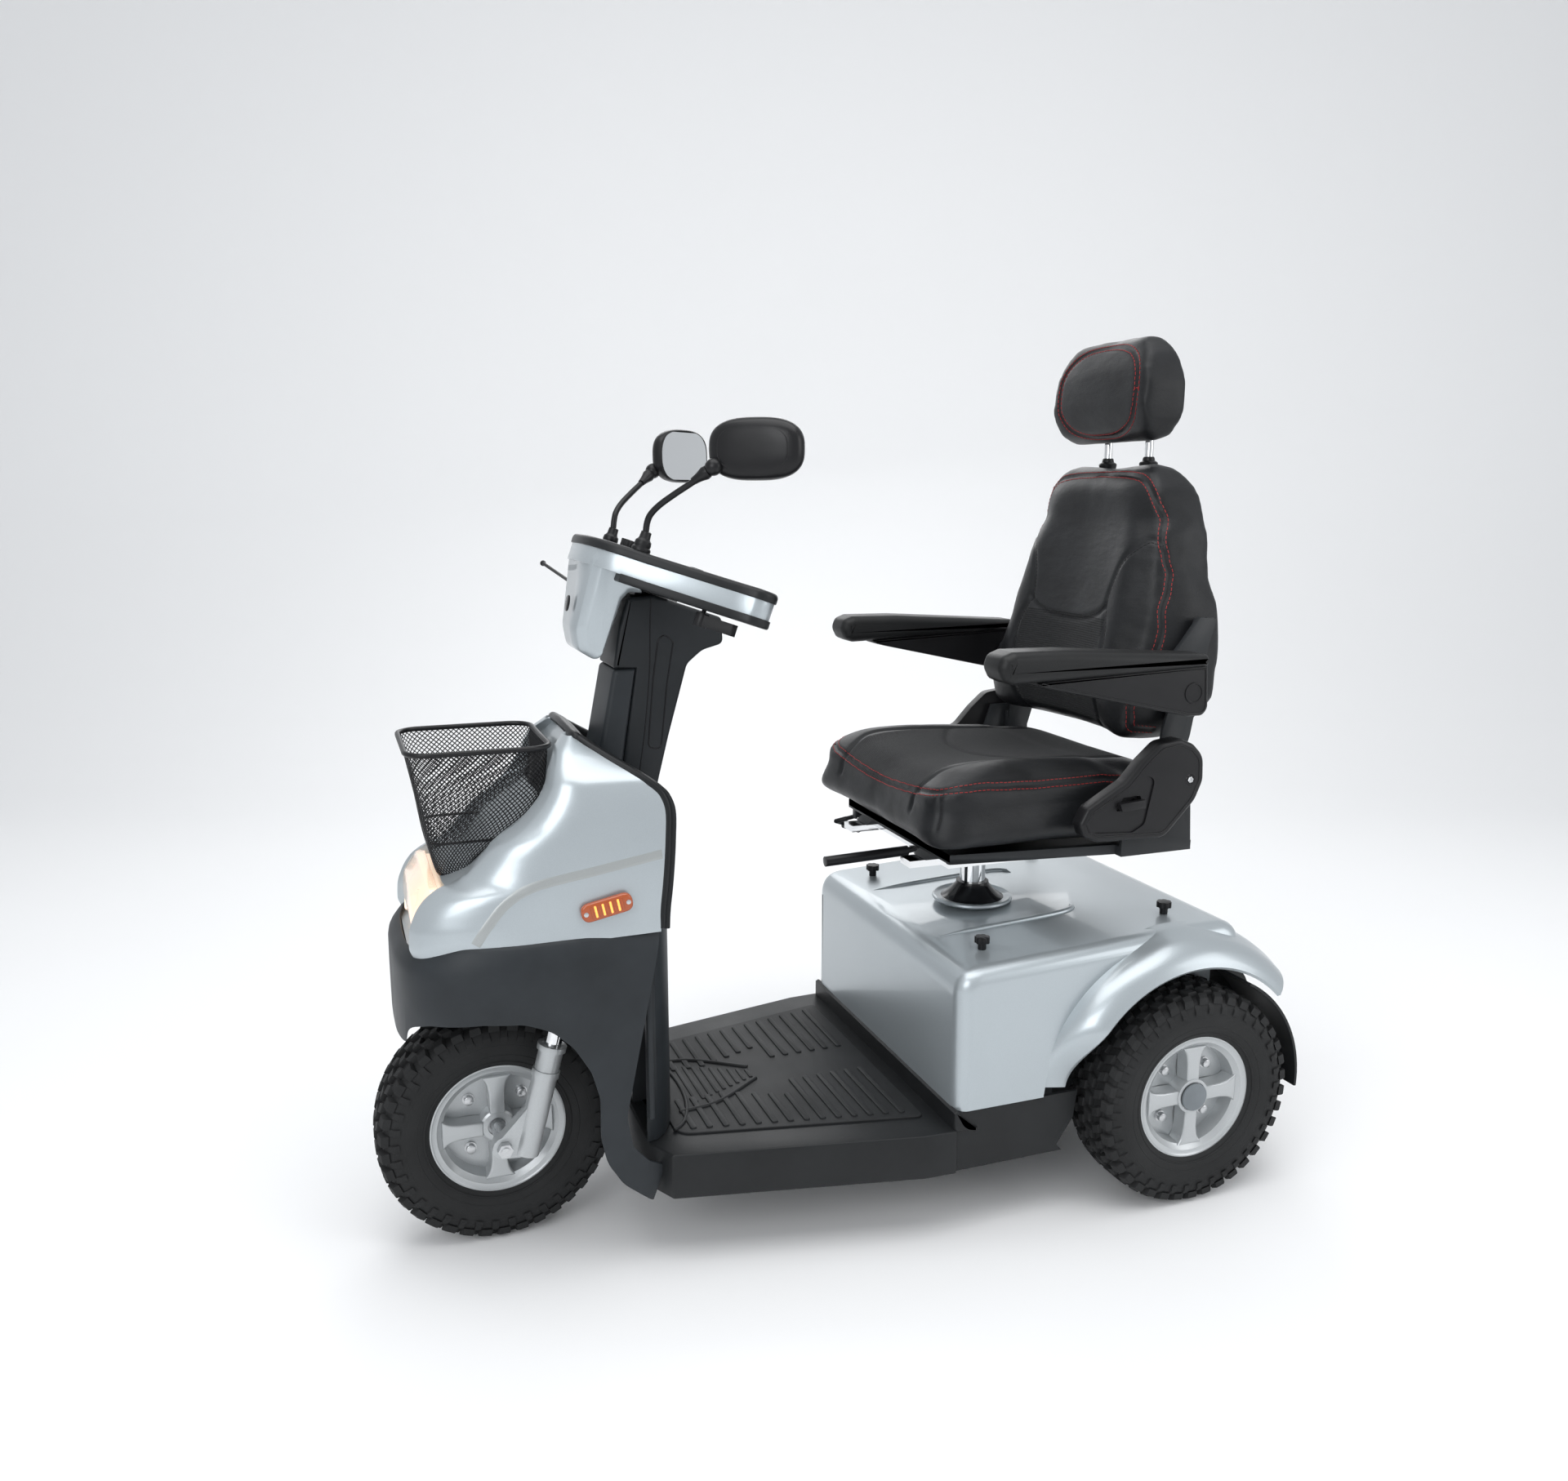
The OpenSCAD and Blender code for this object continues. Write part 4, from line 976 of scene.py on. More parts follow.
def treadBlock(radius, y, length, width, depth, skew, lean):
    # one rubber block: foot at the carcass, narrower head at the tread surface
    verts = []
    for share, rise in ((1.0, 0), (0.94, depth * 0.75), (0.80, depth)):
        for a, b in ((-1, -1), (1, -1), (1, 1), (-1, 1)):
            along = a * length * share / 2 + b * skew
            across = y + b * width * share / 2
            r = radius + rise - lean * abs(across - y) * (1 if (across - y) * y > 0 else -1)
            angle = along / tyreShape["outer"]
            verts.append(Vector((r * math.sin(angle), across, r * math.cos(angle))) * mm)
    return verts, quads(3, 4, 4) + endFaces(3, 4)


def makeTread(name):
    verts, faces = [], []
    pitch = 2 * math.pi * tyreShape["outer"] / tyreShape["blocks"]
    layout = [(155.5, 8, 15, 15, 9.2, 2.2, 0), (155.5, -8, 15, 15, 9.2, -2.2, 0),
              (154.4, 27, 16, 14, 9.4, -2.5, 0.12), (154.4, -27, 16, 14, 9.4, 2.5, 0.12),
              (150.5, 42.5, 17, 11, 9.6, 1.5, 0.5), (150.5, -42.5, 17, 11, 9.6, -1.5, 0.5),
              (138, 48.6, 12, 5.5, 7, 0, 1.6),
              (138, -48.6, 12, 5.5, 7, 0, 1.6)]
    for i, (radius, y, length, width, depth, skew, lean) in enumerate(layout):
        shift = pitch / 2 if i in (1, 2, 5, 6) else 0
        blockVerts, blockFaces = treadBlock(radius, y, length, width, depth, skew, lean)
        angle = shift / tyreShape["outer"]
        base = len(verts)
        for v in blockVerts:
            verts.append(Vector((v.x * math.cos(angle) + v.z * math.sin(angle), v.y,
                                 v.z * math.cos(angle) - v.x * math.sin(angle))))
        faces += [tuple(base + f for f in face) for face in blockFaces]
    tread = objectFrom(name, verts, faces, finish["tyre"], 40, 0)
    return grown(tread, ringNodes, Count=tyreShape["blocks"], Axis=(0, 1, 0), Material=finish["tyre"])


def makeTyre(node, center):
    profile = [(-34.5, 82), (-38, 91), (-41, 96), (-46, 106), (-49, 120), (-49.2, 134), (-47, 145),
               (-42, 152), (-32, 156), (-16, 157.4), (0, 157.8), (16, 157.4), (32, 156), (42, 152), (47, 145),
               (49.2, 134), (49, 120), (46, 106), (41, 96), (38, 91), (34.5, 82)]
    outline = [(v.x, v.y) for v in smoothPath([Vector((a, b, 0)) for a, b in profile], 3)]
    carcass = revolved(node + "Carcass", outline + [outline[0]], center, (0, 1, 0), finish["tyre"], 96, 50)
    beads = []
    for radius, y, thick in ((101, 43.4, 1.6), (112, 47.0, 1.1), (127, 48.6, 1.0)):
        for side in (1, -1):
            loop = [center + Vector((radius * math.cos(a), side * y, radius * math.sin(a))) * mm
                    for a in (2 * math.pi * k / 96 for k in range(96))]
            beads.append(tube(node + "Bead", loop, thick, finish["tyre"], 8, closed=True))
    tread = shifted(makeTread(node + "Tread"), center)
    return finished(joined(node + "Tyre", [carcass] + beads + [tread]), bodyOf[node], "tyre", node)


def handed(face, *profile):
    # a wheel's profile, turned over for the other side of the scooter
    return [(face * along, radius) for along, radius in profile]


def makeRim(node, center, face):
    shape = rimShape
    lip = handed(face, (-39, 72), (-39, 92), (-37, 94), (-35.4, 92), (-34.6, 81.5), (34.6, 81.5), (35.4, 92),
                 (37, 94.5), (39.6, 93.5), (40, 91.5), (38.4, 89.6), (37.4, 84), (33.5, 79.5), (31.5, 76.5),
                 (24, 74.6), (4, 73.6), (-39, 72))
    web = handed(face, (6, 0.01), (6, 74.2), (9, 74.2), (10, 60), (8, 40), (9, 24), (9, 0.01), (6, 0.01))
    if node == "front_rim":
        hub = handed(face, (-38, 10.2), (-38, 21), (-36, 23), (5, 24), (28, 25), (31, 24), (33, 21), (33, 14),
                     (30, 13.5), (29, 10.4), (-38, 10.2))
    else:
        hub = handed(face, (-38, 12.2), (-38, 21), (-36, 23), (5, 24), (33, 27), (36, 26), (36.5, 22),
                     (33, 21.6), (33, 12.2), (-38, 12.2))
    pieces = [revolved(node + "Barrel", lip, center, (0, 1, 0), finish["wheel"], 96, 30),
              revolved(node + "Web", web, center, (0, 1, 0), finish["wheel"], 64, 30),
              revolved(node + "Hub", hub, center, (0, 1, 0), finish["wheel"], 64, 30)]
    spoke = [(20, -10.5), (52, -11.5), (66, -14), (76.5, -21), (76.5, 21), (66, 14), (52, 11.5), (20, 10.5)]
    spoke = rounded(spoke, [0, 30, 20, 0, 0, 20, 30, 0], 4)
    for k in range(shape["spokes"]):
        angle = math.radians(360 / shape["spokes"] * k)

        def turn(v, angle=angle):
            local = Vector((v.x - axleX, v.y, v.z))
            return center + Vector((local.x * math.cos(angle) - local.z * math.sin(angle), local.y,
                                    local.x * math.sin(angle) + local.z * math.cos(angle)))
        low, high = sorted((face * 10, face * 35))
        fillet = (0, 3.5) if face > 0 else (3.5, 0)
        pieces.append(slab(node + "Spoke", spoke, low, high, finish["wheel"], "side", fillet, 4, turn))
    wheel = joined(node + "Wheel", pieces)
    head = handed(face, (9, 8.6), (11, 8.6), (11.2, 6.6), (18, 6.6), (18.6, 5.8), (18.6, 0.01), (9, 0.01),
                  (9, 8.6))
    bolt = revolved(node + "Bolt", head, Vector((0, 0, 0)), (0, 1, 0), finish["zinc"], 12, 30)
    reach, lean = shape["boltCircle"] * mm, math.radians(45)
    shifted(bolt, Vector((reach * math.cos(lean), 0, reach * math.sin(lean))))
    bolts = grown(bolt, ringNodes, Count=shape["bolts"], Axis=(0, 1, 0), Material=finish["zinc"])
    shifted(bolts, center)
    return finished(joined(node + "Wheel", [wheel, bolts]), bodyOf[node], "wheel_silver", node)


for nodeName, rimName, face in (("front_tyre", "front_rim", 1), ("rear_tyre_left", "rear_rim_left", 1),
                                ("rear_tyre_right", "rear_rim_right", -1)):
    low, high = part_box(nodeName)
    center = (low + high) / 2
    makeTyre(nodeName, center)
    makeRim(rimName, center, face)
print("wheels made")

# basket

basketShape = {
    "back": curveOf([(532, 1012), (545, 1000), (560, 990), (598, 944), (628, 912), (664, 894), (713, 889)]),
    "front": curveOf([(532, 1020), (552, 1038), (640, 1054), (713, 1068)]),
    "half": curveOf([(532, 66), (640, 88), (713, 98)]), "corner": curveOf([(532, 6), (560, 16), (713, 30)]),
    "top": 713, "bottom": 534, "wires": 96, "wire": 0.75, "rim": 3.6,
}


def basketLoop(z, count=160, inset=0):
    # points round the basket at one height, evenly spaced along the loop
    shape = basketShape
    back, front = shape["back"](z) + inset, shape["front"](z) - inset
    half, corner = shape["half"](z) - inset, shape["corner"](z)
    corner = min(corner, (front - back) * 0.45)
    loop = []
    for cx, cy, start in ((front - corner, half - corner, 0), (back + corner, half - corner, 90),
                          (back + corner, -half + corner, 180), (front - corner, -half + corner, 270)):
        for k in range(7):
            angle = math.radians(start + 15 * k)
            loop.append(Vector((cx + corner * math.cos(angle), cy + corner * math.sin(angle), z)))
    loop.append(loop[0])
    lengths = np.cumsum([0] + [(b - a).length for a, b in zip(loop, loop[1:])])
    result = []
    for s in np.linspace(0, lengths[-1], count, endpoint=False):
        i = min(int(np.searchsorted(lengths, s, side="right")) - 1, len(loop) - 2)
        share = (s - lengths[i]) / max(lengths[i + 1] - lengths[i], 1e-9)
        result.append(loop[i].lerp(loop[i + 1], share))
    return result


def makeBasket():
    shape = basketShape
    levels = 34
    count = shape["wires"] * 4
    loops = [basketLoop(shape["top"] - (shape["top"] - shape["bottom"]) * i / levels, count)
             for i in range(levels + 1)]
    paths = []
    for k in range(shape["wires"]):
        for turn in (1, -1):
            path = []
            for i, loop in enumerate(loops):
                position = (k * 4 + turn * i * 3.2) % count
                a = int(position)
                v = loop[a].lerp(loop[(a + 1) % count], position - a)
                path.append(at(v.x, v.y, v.z))
            paths.append(path)
    wires = grown(pathsPiece("basketWires", paths), wireNodes, Radius=shape["wire"] * mm, Sides=4,
                  Material=finish["knob"])
    floorPaths = []
    bottom = basketLoop(shape["bottom"], 40)
    for k in range(1, 20):
        floorPaths.append([at(*bottom[k]), at(*bottom[-k])])
    floorWires = grown(pathsPiece("basketFloor", floorPaths), wireNodes, Radius=shape["wire"] * mm, Sides=4,
                       Material=finish["knob"])
    hoops = [floorWires]
    for z, radius, inset in ((shape["top"], shape["rim"], -1.5), (592, 1.9, 1.5), (shape["bottom"], 1.8, 0)):
        hoop = [at(*v) for v in basketLoop(z, 120, inset)]
        hoops.append(tube("basketHoop", hoop, radius, finish["knob"], 10, closed=True))
    finished(joined("wireBasket", [wires] + hoops), "chassis", "basket_wire", "basket")


# seat

def seatCopy(node, shrink, voxel):
    # the cushion's plain form, a little smaller all round, as an even mesh
    low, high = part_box(node)
    middle = (low + high) / 2
    piece = looseCopy(node, node + "Pad")
    for vertex in piece.data.vertices:
        for axis in range(3):
            size = (high - low)[axis]
            vertex.co[axis] = middle[axis] + (vertex.co[axis] - middle[axis]) * (1 - 2 * shrink * mm / size)
    welded(piece)
    remesh = piece.modifiers.new("even", "REMESH")
    remesh.mode = "VOXEL"
    remesh.voxel_size = voxel * mm
    even = piece.modifiers.new("soft", "SMOOTH")
    even.factor = 0.5
    even.iterations = 14
    applied(piece)
    return piece


def inflated(piece, cap, pressure=4.0):
    # cloth under pressure rounds the pad; no point may move further than the cap
    start = np.array([v.co for v in piece.data.vertices])
    cloth = piece.modifiers.new("cloth", "CLOTH")
    cloth.settings.use_pressure = True
    cloth.settings.uniform_pressure_force = pressure
    cloth.settings.effector_weights.gravity = 0
    cloth.settings.quality = 4
    scene = bpy.context.scene
    for number in range(1, 21):
        scene.frame_set(number)
    graph = bpy.context.evaluated_depsgraph_get()
    moved = np.array([v.co for v in piece.evaluated_get(graph).data.vertices])
    piece.modifiers.clear()
    scene.frame_set(1)
    step = moved - start
    ends = np.array([e.vertices[:] for e in piece.data.edges])
    count = np.maximum(np.bincount(ends.ravel(), minlength=len(start)), 1)[:, None]
    rough = step.copy()
    for k in range(60):
        total = np.zeros_like(step)
        np.add.at(total, ends[:, 0], step[ends[:, 1]])
        np.add.at(total, ends[:, 1], step[ends[:, 0]])
        step = 0.4 * step + 0.6 * total / count
    step = step * 0.86 + rough * 0.14
    length = np.linalg.norm(step, axis=1, keepdims=True)
    limit = cap * mm
    step *= np.minimum(1, limit * np.tanh(length / limit) / np.maximum(length, 1e-9))
    for vertex, place in zip(piece.data.vertices, start + step):
        vertex.co = place
    return piece


def fitTo(piece, node, extra=0.0):
    # keeps the swollen pad inside the box of the part it stands for
    low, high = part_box(node)
    co = np.array([v.co for v in piece.data.vertices])
    have = (co.min(0), co.max(0))
    for axis in range(3):
        want = (low[axis] - extra * mm, high[axis] + extra * mm)
        scale = (want[1] - want[0]) / (have[1][axis] - have[0][axis])
        co[:, axis] = want[0] + (co[:, axis] - have[0][axis]) * scale
    for vertex, place in zip(piece.data.vertices, co):
        vertex.co = place


def subdivided(piece):
    soften = piece.modifiers.new("soft", "SMOOTH")
    soften.factor = 0.5
    soften.iterations = 4
    finer = piece.modifiers.new("finer", "SUBSURF")
    finer.levels = 1
    finer.render_levels = 1
    applied(piece)
    for polygon in piece.data.polygons:
        polygon.use_smooth = True
    return piece


def seamed(piece, paths, depth, width):
    # presses a rounded channel into the pad along each path of points on its skin
    points = []
    for path in paths:
        for a, b in zip(path, path[1:]):
            pieces = max(1, int((b - a).length / (2 * mm)))
            points += [a.lerp(b, k / pieces) for k in range(pieces)]
    near = KDTree(len(points))
    for i, point in enumerate(points):
        near.insert(point, i)
    near.balance()
    moves = []
    for vertex in piece.data.vertices:
        far = near.find(vertex.co)[2]
        moves.append(depth * mm * math.exp(-(far / (width * mm)) ** 2) if far < 4 * width * mm else 0)
    normals = [v.normal.copy() for v in piece.data.vertices]
    for vertex, move, normal in zip(piece.data.vertices, moves, normals):
        vertex.co -= normal * move


def ontoSkin(piece, points, direction=None):
    # drops points on to the pad, along a direction or to the nearest place
    tree = BVHTree.FromObject(piece, bpy.context.evaluated_depsgraph_get())
    result = []
    for point in points:
        if direction is not None:
            hit = tree.ray_cast(point - Vector(direction) * 0.4, Vector(direction))[0]
        else:
            hit = tree.find_nearest(point)[0]
        if hit is not None:
            result.append(hit)
    return result


def stitched(name, piece, paths, offset, material, pitch=7.0, length=4.6, thread=0.55):
    # a row of stitches beside each path, offset along the skin
    tree = BVHTree.FromObject(piece, bpy.context.evaluated_depsgraph_get())
    rows = []
    for path in paths:
        row = []
        for i, point in enumerate(path):
            along = (path[min(i + 1, len(path) - 1)] - path[max(i - 1, 0)]).normalized()
            normal = tree.find_nearest(point)[1]
            hit, skin, index, far = tree.find_nearest(point + along.cross(normal) * offset * mm)
            row.append(hit + skin * 0.35 * mm)
        rows.append(row)
    return grown(pathsPiece(name, rows), stitchNodes, Pitch=pitch * mm, Length=length * mm,
                 Thread=thread * mm,
                 Material=material)


def paintRegion(piece, material, inside):
    # gives the faces whose middle passes the test another material
    piece.data.materials.append(material)
    index = len(piece.data.materials) - 1
    for polygon in piece.data.polygons:
        if inside(polygon.center, polygon.normal):
            polygon.material_index = index


def bothSides(path):
    return [path, otherSide(path)]


def dressed(pad, stitches, name, body, node):
    # the pad and its stitches become two pieces of one cushion
    finished(joined(name + "Stitches", stitches), body, "leather")
    pad.name = name + "Pad"
    finished(pad, body, "leather", node)
    pad.data.materials[0] = finish["leather"]


def makeSeatCushion():
    pad = seatCopy("seat_cushion", 9, 6)
    inflated(pad, 22)
    subdivided(pad)
    # raised thighs and sides, a shallow dish, sides that lean in at the bottom
    for vertex in pad.data.vertices:
        x, y, z = placeOf(vertex.co)
        upper = smoothStep(600, 650, z)
        ridge = math.exp(-((abs(y) - 150) / 46) ** 2) * smoothStep(120, 260, x)
        dish = -9 * math.exp(-(y / 95) ** 2) * smoothStep(-20, 120, x) * smoothStep(410, 300, x)
        nose = -14 * smoothStep(330, 400, x) * upper
        middle = -8 * math.exp(-(y / 60) ** 2) * smoothStep(300, 390, x)
        vertex.co.z += (ridge * 7 + dish + nose + middle) * upper * mm
        fuller = smoothStep(610, 556, z)
        vertex.co.y *= 1 + 0.06 * fuller
        vertex.co.x += (vertex.co.x - axleX - 188 * mm) * 0.05 * fuller
    fitTo(pad, "seat_cushion")
    edge = [at(x, y, 640) for x, y in ((70, 214), (140, 216), (230, 216), (310, 212), (358, 200), (384, 172),
            (393, 130), (395, 80), (394, 30), (394, 0))]
    lowered = []
    for v in smoothPath(edge, 10):
        x, y, z = placeOf(v)
        drop = 8 + 16 * smoothStep(300, 396, x) * (1 - 0.5 * math.exp(-((y - 150) / 60) ** 2))
        drop += 9 * math.exp(-(y / 60) ** 2)
        lowered.append(Vector((v.x, v.y, (652 - drop) * mm)))
    rim = bothSides(ontoSkin(pad, lowered))
    thigh = ontoSkin(pad, smoothPath([at(388, 128, 700), at(330, 140, 700), at(250, 134, 700),
                     at(150, 128, 700), at(40, 124, 700)], 12), (0, 0, -1))
    cross = ontoSkin(pad, smoothPath([at(196, 126, 700), at(232, 60, 700), at(240, 0, 700),
                     at(232, -60, 700), at(196, -126, 700)], 12), (0, 0, -1))
    corner = ontoSkin(pad, [at(372, 192, z) for z in range(546, 634, 6)])
    seamed(pad, rim, 3.0, 4.5)
    seamed(pad, bothSides(thigh) + [cross], 3.4, 5)
    seamed(pad, bothSides(corner), 1.6, 3.5)
    paintRegion(pad, finish["seatRib"], lambda c, n: n.z > 0.5 and abs(c.y) < 0.128 and c.z > 0.6)
    stitches = [stitched("seatStitch", pad, rim, 5.5, finish["thread"]),
                stitched("seatStitch", pad, rim, -5.5, finish["thread"]),
                stitched("seatStitch", pad, bothSides(corner), 3.5, finish["blackThread"], 6, 4)]
    dressed(pad, stitches, "seat", "seat", "seat_cushion")


def makeBackCushion():
    pad = seatCopy("back_cushion", 9, 6)
    inflated(pad, 22)
    subdivided(pad)
    for vertex in pad.data.vertices:
        x, y, z = placeOf(vertex.co)
        facing = smoothStep(-30, 10, x)
        dish = -13 * math.exp(-(y / 85) ** 2) * smoothStep(1080, 960, z) * smoothStep(670, 760, z)
        bolster = 8 * math.exp(-((abs(y) - 150 + 0.12 * (z - 760)) / 34) ** 2) * smoothStep(1050, 900, z)
        vertex.co.x += (dish + bolster) * facing * mm
    fitTo(pad, "back_cushion")

    def frontFace(y, z):
        return at(300, y, z)

    back = (-1, 0, 0)
    side = smoothPath([frontFace(y, z)
                       for y, z in ((188, 690), (196, 760), (192, 860), (172, 950), (146, 1020),
                      (120, 1052), (80, 1062), (0, 1065))], 12)
    welt = ontoSkin(pad, side, back)
    inner = ontoSkin(pad,
                     smoothPath([frontFace(y, z) for y, z in ((112, 684), (124, 760), (120, 830), (104, 872),
                     (108, 905), (122, 940), (150, 968), (168, 966))], 12), back)
    smile = ontoSkin(pad, smoothPath([frontFace(y, z) for y, z in ((104, 872), (86, 858), (50, 848), (0, 845),
                     (-50, 848), (-86, 858), (-104, 872))], 12), back)
    seamed(pad, bothSides(inner), 3.0, 4.5)
    seamed(pad, [smile], 3.6, 5)
    seamed(pad, bothSides(welt), 2.6, 4)
    paintRegion(pad, finish["backRib"], lambda c, n: n.x > 0.4 and 0.70 < c.z < 0.852 and abs(c.y) < 0.112)
    stitches = [stitched("backStitch", pad, bothSides(welt), -6, finish["thread"]),
                stitched("backStitch", pad, bothSides(welt), 6, finish["thread"]),
                stitched("backStitch", pad, [smile] + bothSides(inner), 3.5, finish["blackThread"], 6, 4)]
    dressed(pad, stitches, "back", "backrest", "back_cushion")


def makeHeadrest():
    pad = seatCopy("headrest_cushion", 7, 5)
    inflated(pad, 14)
    subdivided(pad)
    fitTo(pad, "headrest_cushion")
    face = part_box("headrest_cushion")[1].x
    for vertex in pad.data.vertices:
        vertex.co.x = face - (face - vertex.co.x) * 0.88
    loop = softLoop(101, 66, 0.75, 48)
    seam = ontoSkin(pad, [at(300, y, 1186 + z) for y, z in loop + loop[:1]], (-1, 0, 0))
    seam = [seam + seam[:1]]
    seamed(pad, seam, 2.6, 4)
    stitches = [stitched("headStitch", pad, seam, offset, finish["thread"]) for offset in (5, -5)]
    dressed(pad, stitches, "head", "headrest", "headrest_cushion")


makeBasket()
print("basket made")
makeSeatCushion()
makeBackCushion()
makeHeadrest()
print("cushions made")

# tiller head, column and console

slope = math.radians(19.5)


def onConsole(x, y, z):
    # a place on the console, whose top slopes down towards the rider
    return at(754 + x * math.cos(slope) - z * math.sin(slope), y,
              958 + x * math.sin(slope) + z * math.cos(slope))


def tilted(v):
    return onConsole(*placeOf(v))


def consolePlan(inset):
    half = [(76 - inset, 0), (75 - inset, 34), (70 - inset, 62), (56 - inset, 92 - inset), (30, 107 - inset),
            (0, 117 - inset)]
    half += [(-90 + 0.34 * inset, 214 - inset)]
    half += [(-118 + (26 - inset) * math.cos(math.radians(a)), 212 + (26 - inset) * math.sin(math.radians(a)))
             for a in range(60, 216, 15)]
    half += [(-84 - 0.6 * inset, 140 + inset), (-46 + inset, 84), (-58 + inset, 50), (-62 + inset, 0)]
    return half + [(x, -y) for x, y in half[-2:0:-1]]


def makeConsole():
    black, silver = finish["console"], finish["silver"]
    top = slab("consoleTop", consolePlan(0), -13, 0, black, "plan", (1.5, 6), 5, tilted)
    band = slab("consoleBand", consolePlan(2.2), -36, -12, silver, "plan", (0.5, 0.5), 3, tilted)
    arms = [(min(x, 30), y) for x, y in consolePlan(0)]
    bottom = slab("consoleBottom", arms, -46, -35, black, "plan", (3, 1), 4, tilted)
    pieces = [top, band, bottom]
    display = rounded([(52, -52), (52, 52), (22, 60), (22, -60)], 6, 4)
    pieces.append(slab("consoleDisplay", display, -0.5, 1.2, finish["gloss"], "plan", (0, 0.8), 2, tilted))
    for side in (1, -1):
        for x, y in ((-34, 36), (-34, 62), (-58, 128)):
            key = roundedBox(x, side * y, 8, 9, 4)
            pieces.append(slab("consoleKey", key, -0.5, 1.8, finish["knob"], "plan", (0, 1.2), 2, tilted))
    finished(joined("consoleShell", pieces), "tiller", "console_black", "console")


def makeHead():
    outline = rounded([(757, 906), (774, 908), (783, 898), (810, 824), (824, 817), (845, 830), (849, 858),
                       (830, 953), (818, 966), (757, 944)], [0, 6, 10, 14, 12, 16, 40, 12, 10, 0], 6)
    head = slab("headShell", outline, -70, 70, finish["silver"], "side", (9, 9), 8)
    for vertex in head.data.vertices:
        x, y, z = placeOf(vertex.co)
        edge = smoothStep(52, 70, abs(y))
        wider = 0.3 * smoothStep(890, 958, z)
        narrower = 0.22 * smoothStep(915, 820, z) + 0.10 * smoothStep(800, 850, x)
        vertex.co.y *= 1 + wider - narrower
        vertex.co.x -= 12 * mm * edge * smoothStep(800, 830, x)
    badge = revolved("headBadge", [(0, 11), (1.6, 11), (2.2, 10), (2.2, 0)], at(842.5, 0, 890),
                     (0.98, 0, 0.2), finish["gloss"], 40)
    ear = roundedBox(808.5, -76, 7.5, 10, 3)
    ears = [slab("headEar", ear, z, z + 4, finish["silver"], "plan", (1, 1), 2) for z in (892.8, 908.2)]
    pin = revolved("headPin", [(0, 2), (19, 2)], at(808, -79, 893), (0, 0, 1), finish["zinc"], 20)
    finished(joined("tillerHead", [head, badge, pin] + ears), "tiller", "silver_paint", "head_cover")


def makeColumn():
    front = rounded([(840, 606), (812, 707), (793, 803), (762, 803), (784, 664), (795, 606)],
                    [0, 0, 8, 0, 0, 0], 5)
    piece = slab("columnFront", front, -47.5, 47.5, finish["shroud"], "side", (7, 7), 6)
    finished(piece, "tiller", "shroud_plastic", "column_front_cover")
    rear = rounded([(744, 604), (794, 604), (784, 664), (762, 803), (793, 804), (784, 858), (772, 898),
                    (736, 902), (640, 868), (638, 832), (668, 824), (690, 806), (718, 707)],
                   [0, 0, 0, 0, 4, 20, 4, 6, 8, 10, 30, 20, 0], 5)
    column = slab("columnRear", rear, -48, 48, finish["column"], "side", (6, 6), 5)
    parts = [column]
    for side in (1, -1):
        panel = rounded([(730, 690), (748, 694), (739, 790), (731, 842), (722, 848), (710, 838), (720, 780)],
                        [8, 8, 20, 12, 6, 8, 30], 5)
        loop = [at(x, side * 48.1, z) for x, z in panel]
        parts.append(tube("panelLine", loop, 0.9, finish["gloss"], 8, closed=True))
        seam = [at(x, side * 48.0, z)
                for x, z in ((764, 640), (752, 720), (744, 800), (742, 860), (740, 898))]
        parts.append(tube("sideSeam", smoothPath(seam, 6), 0.7, finish["gloss"], 8))
    cover = joined("columnRearShell", parts)
    finished(cover, "tiller", "column_plastic", "column_rear_cover")


# mirrors

mirrorShape = {"at": (636, 177, 1090), "turn": 50, "ball": (682, 151, 1068)}


def mirrorPlace(side):
    turn = math.radians(mirrorShape["turn"])
    mx, my, mz = mirrorShape["at"]

    def place(a, b, depth):
        x, y = depth * math.cos(turn) - a * math.sin(turn), depth * math.sin(turn) + a * math.cos(turn)
        return at(mx + x, side * (my + y), mz + b)
    return place


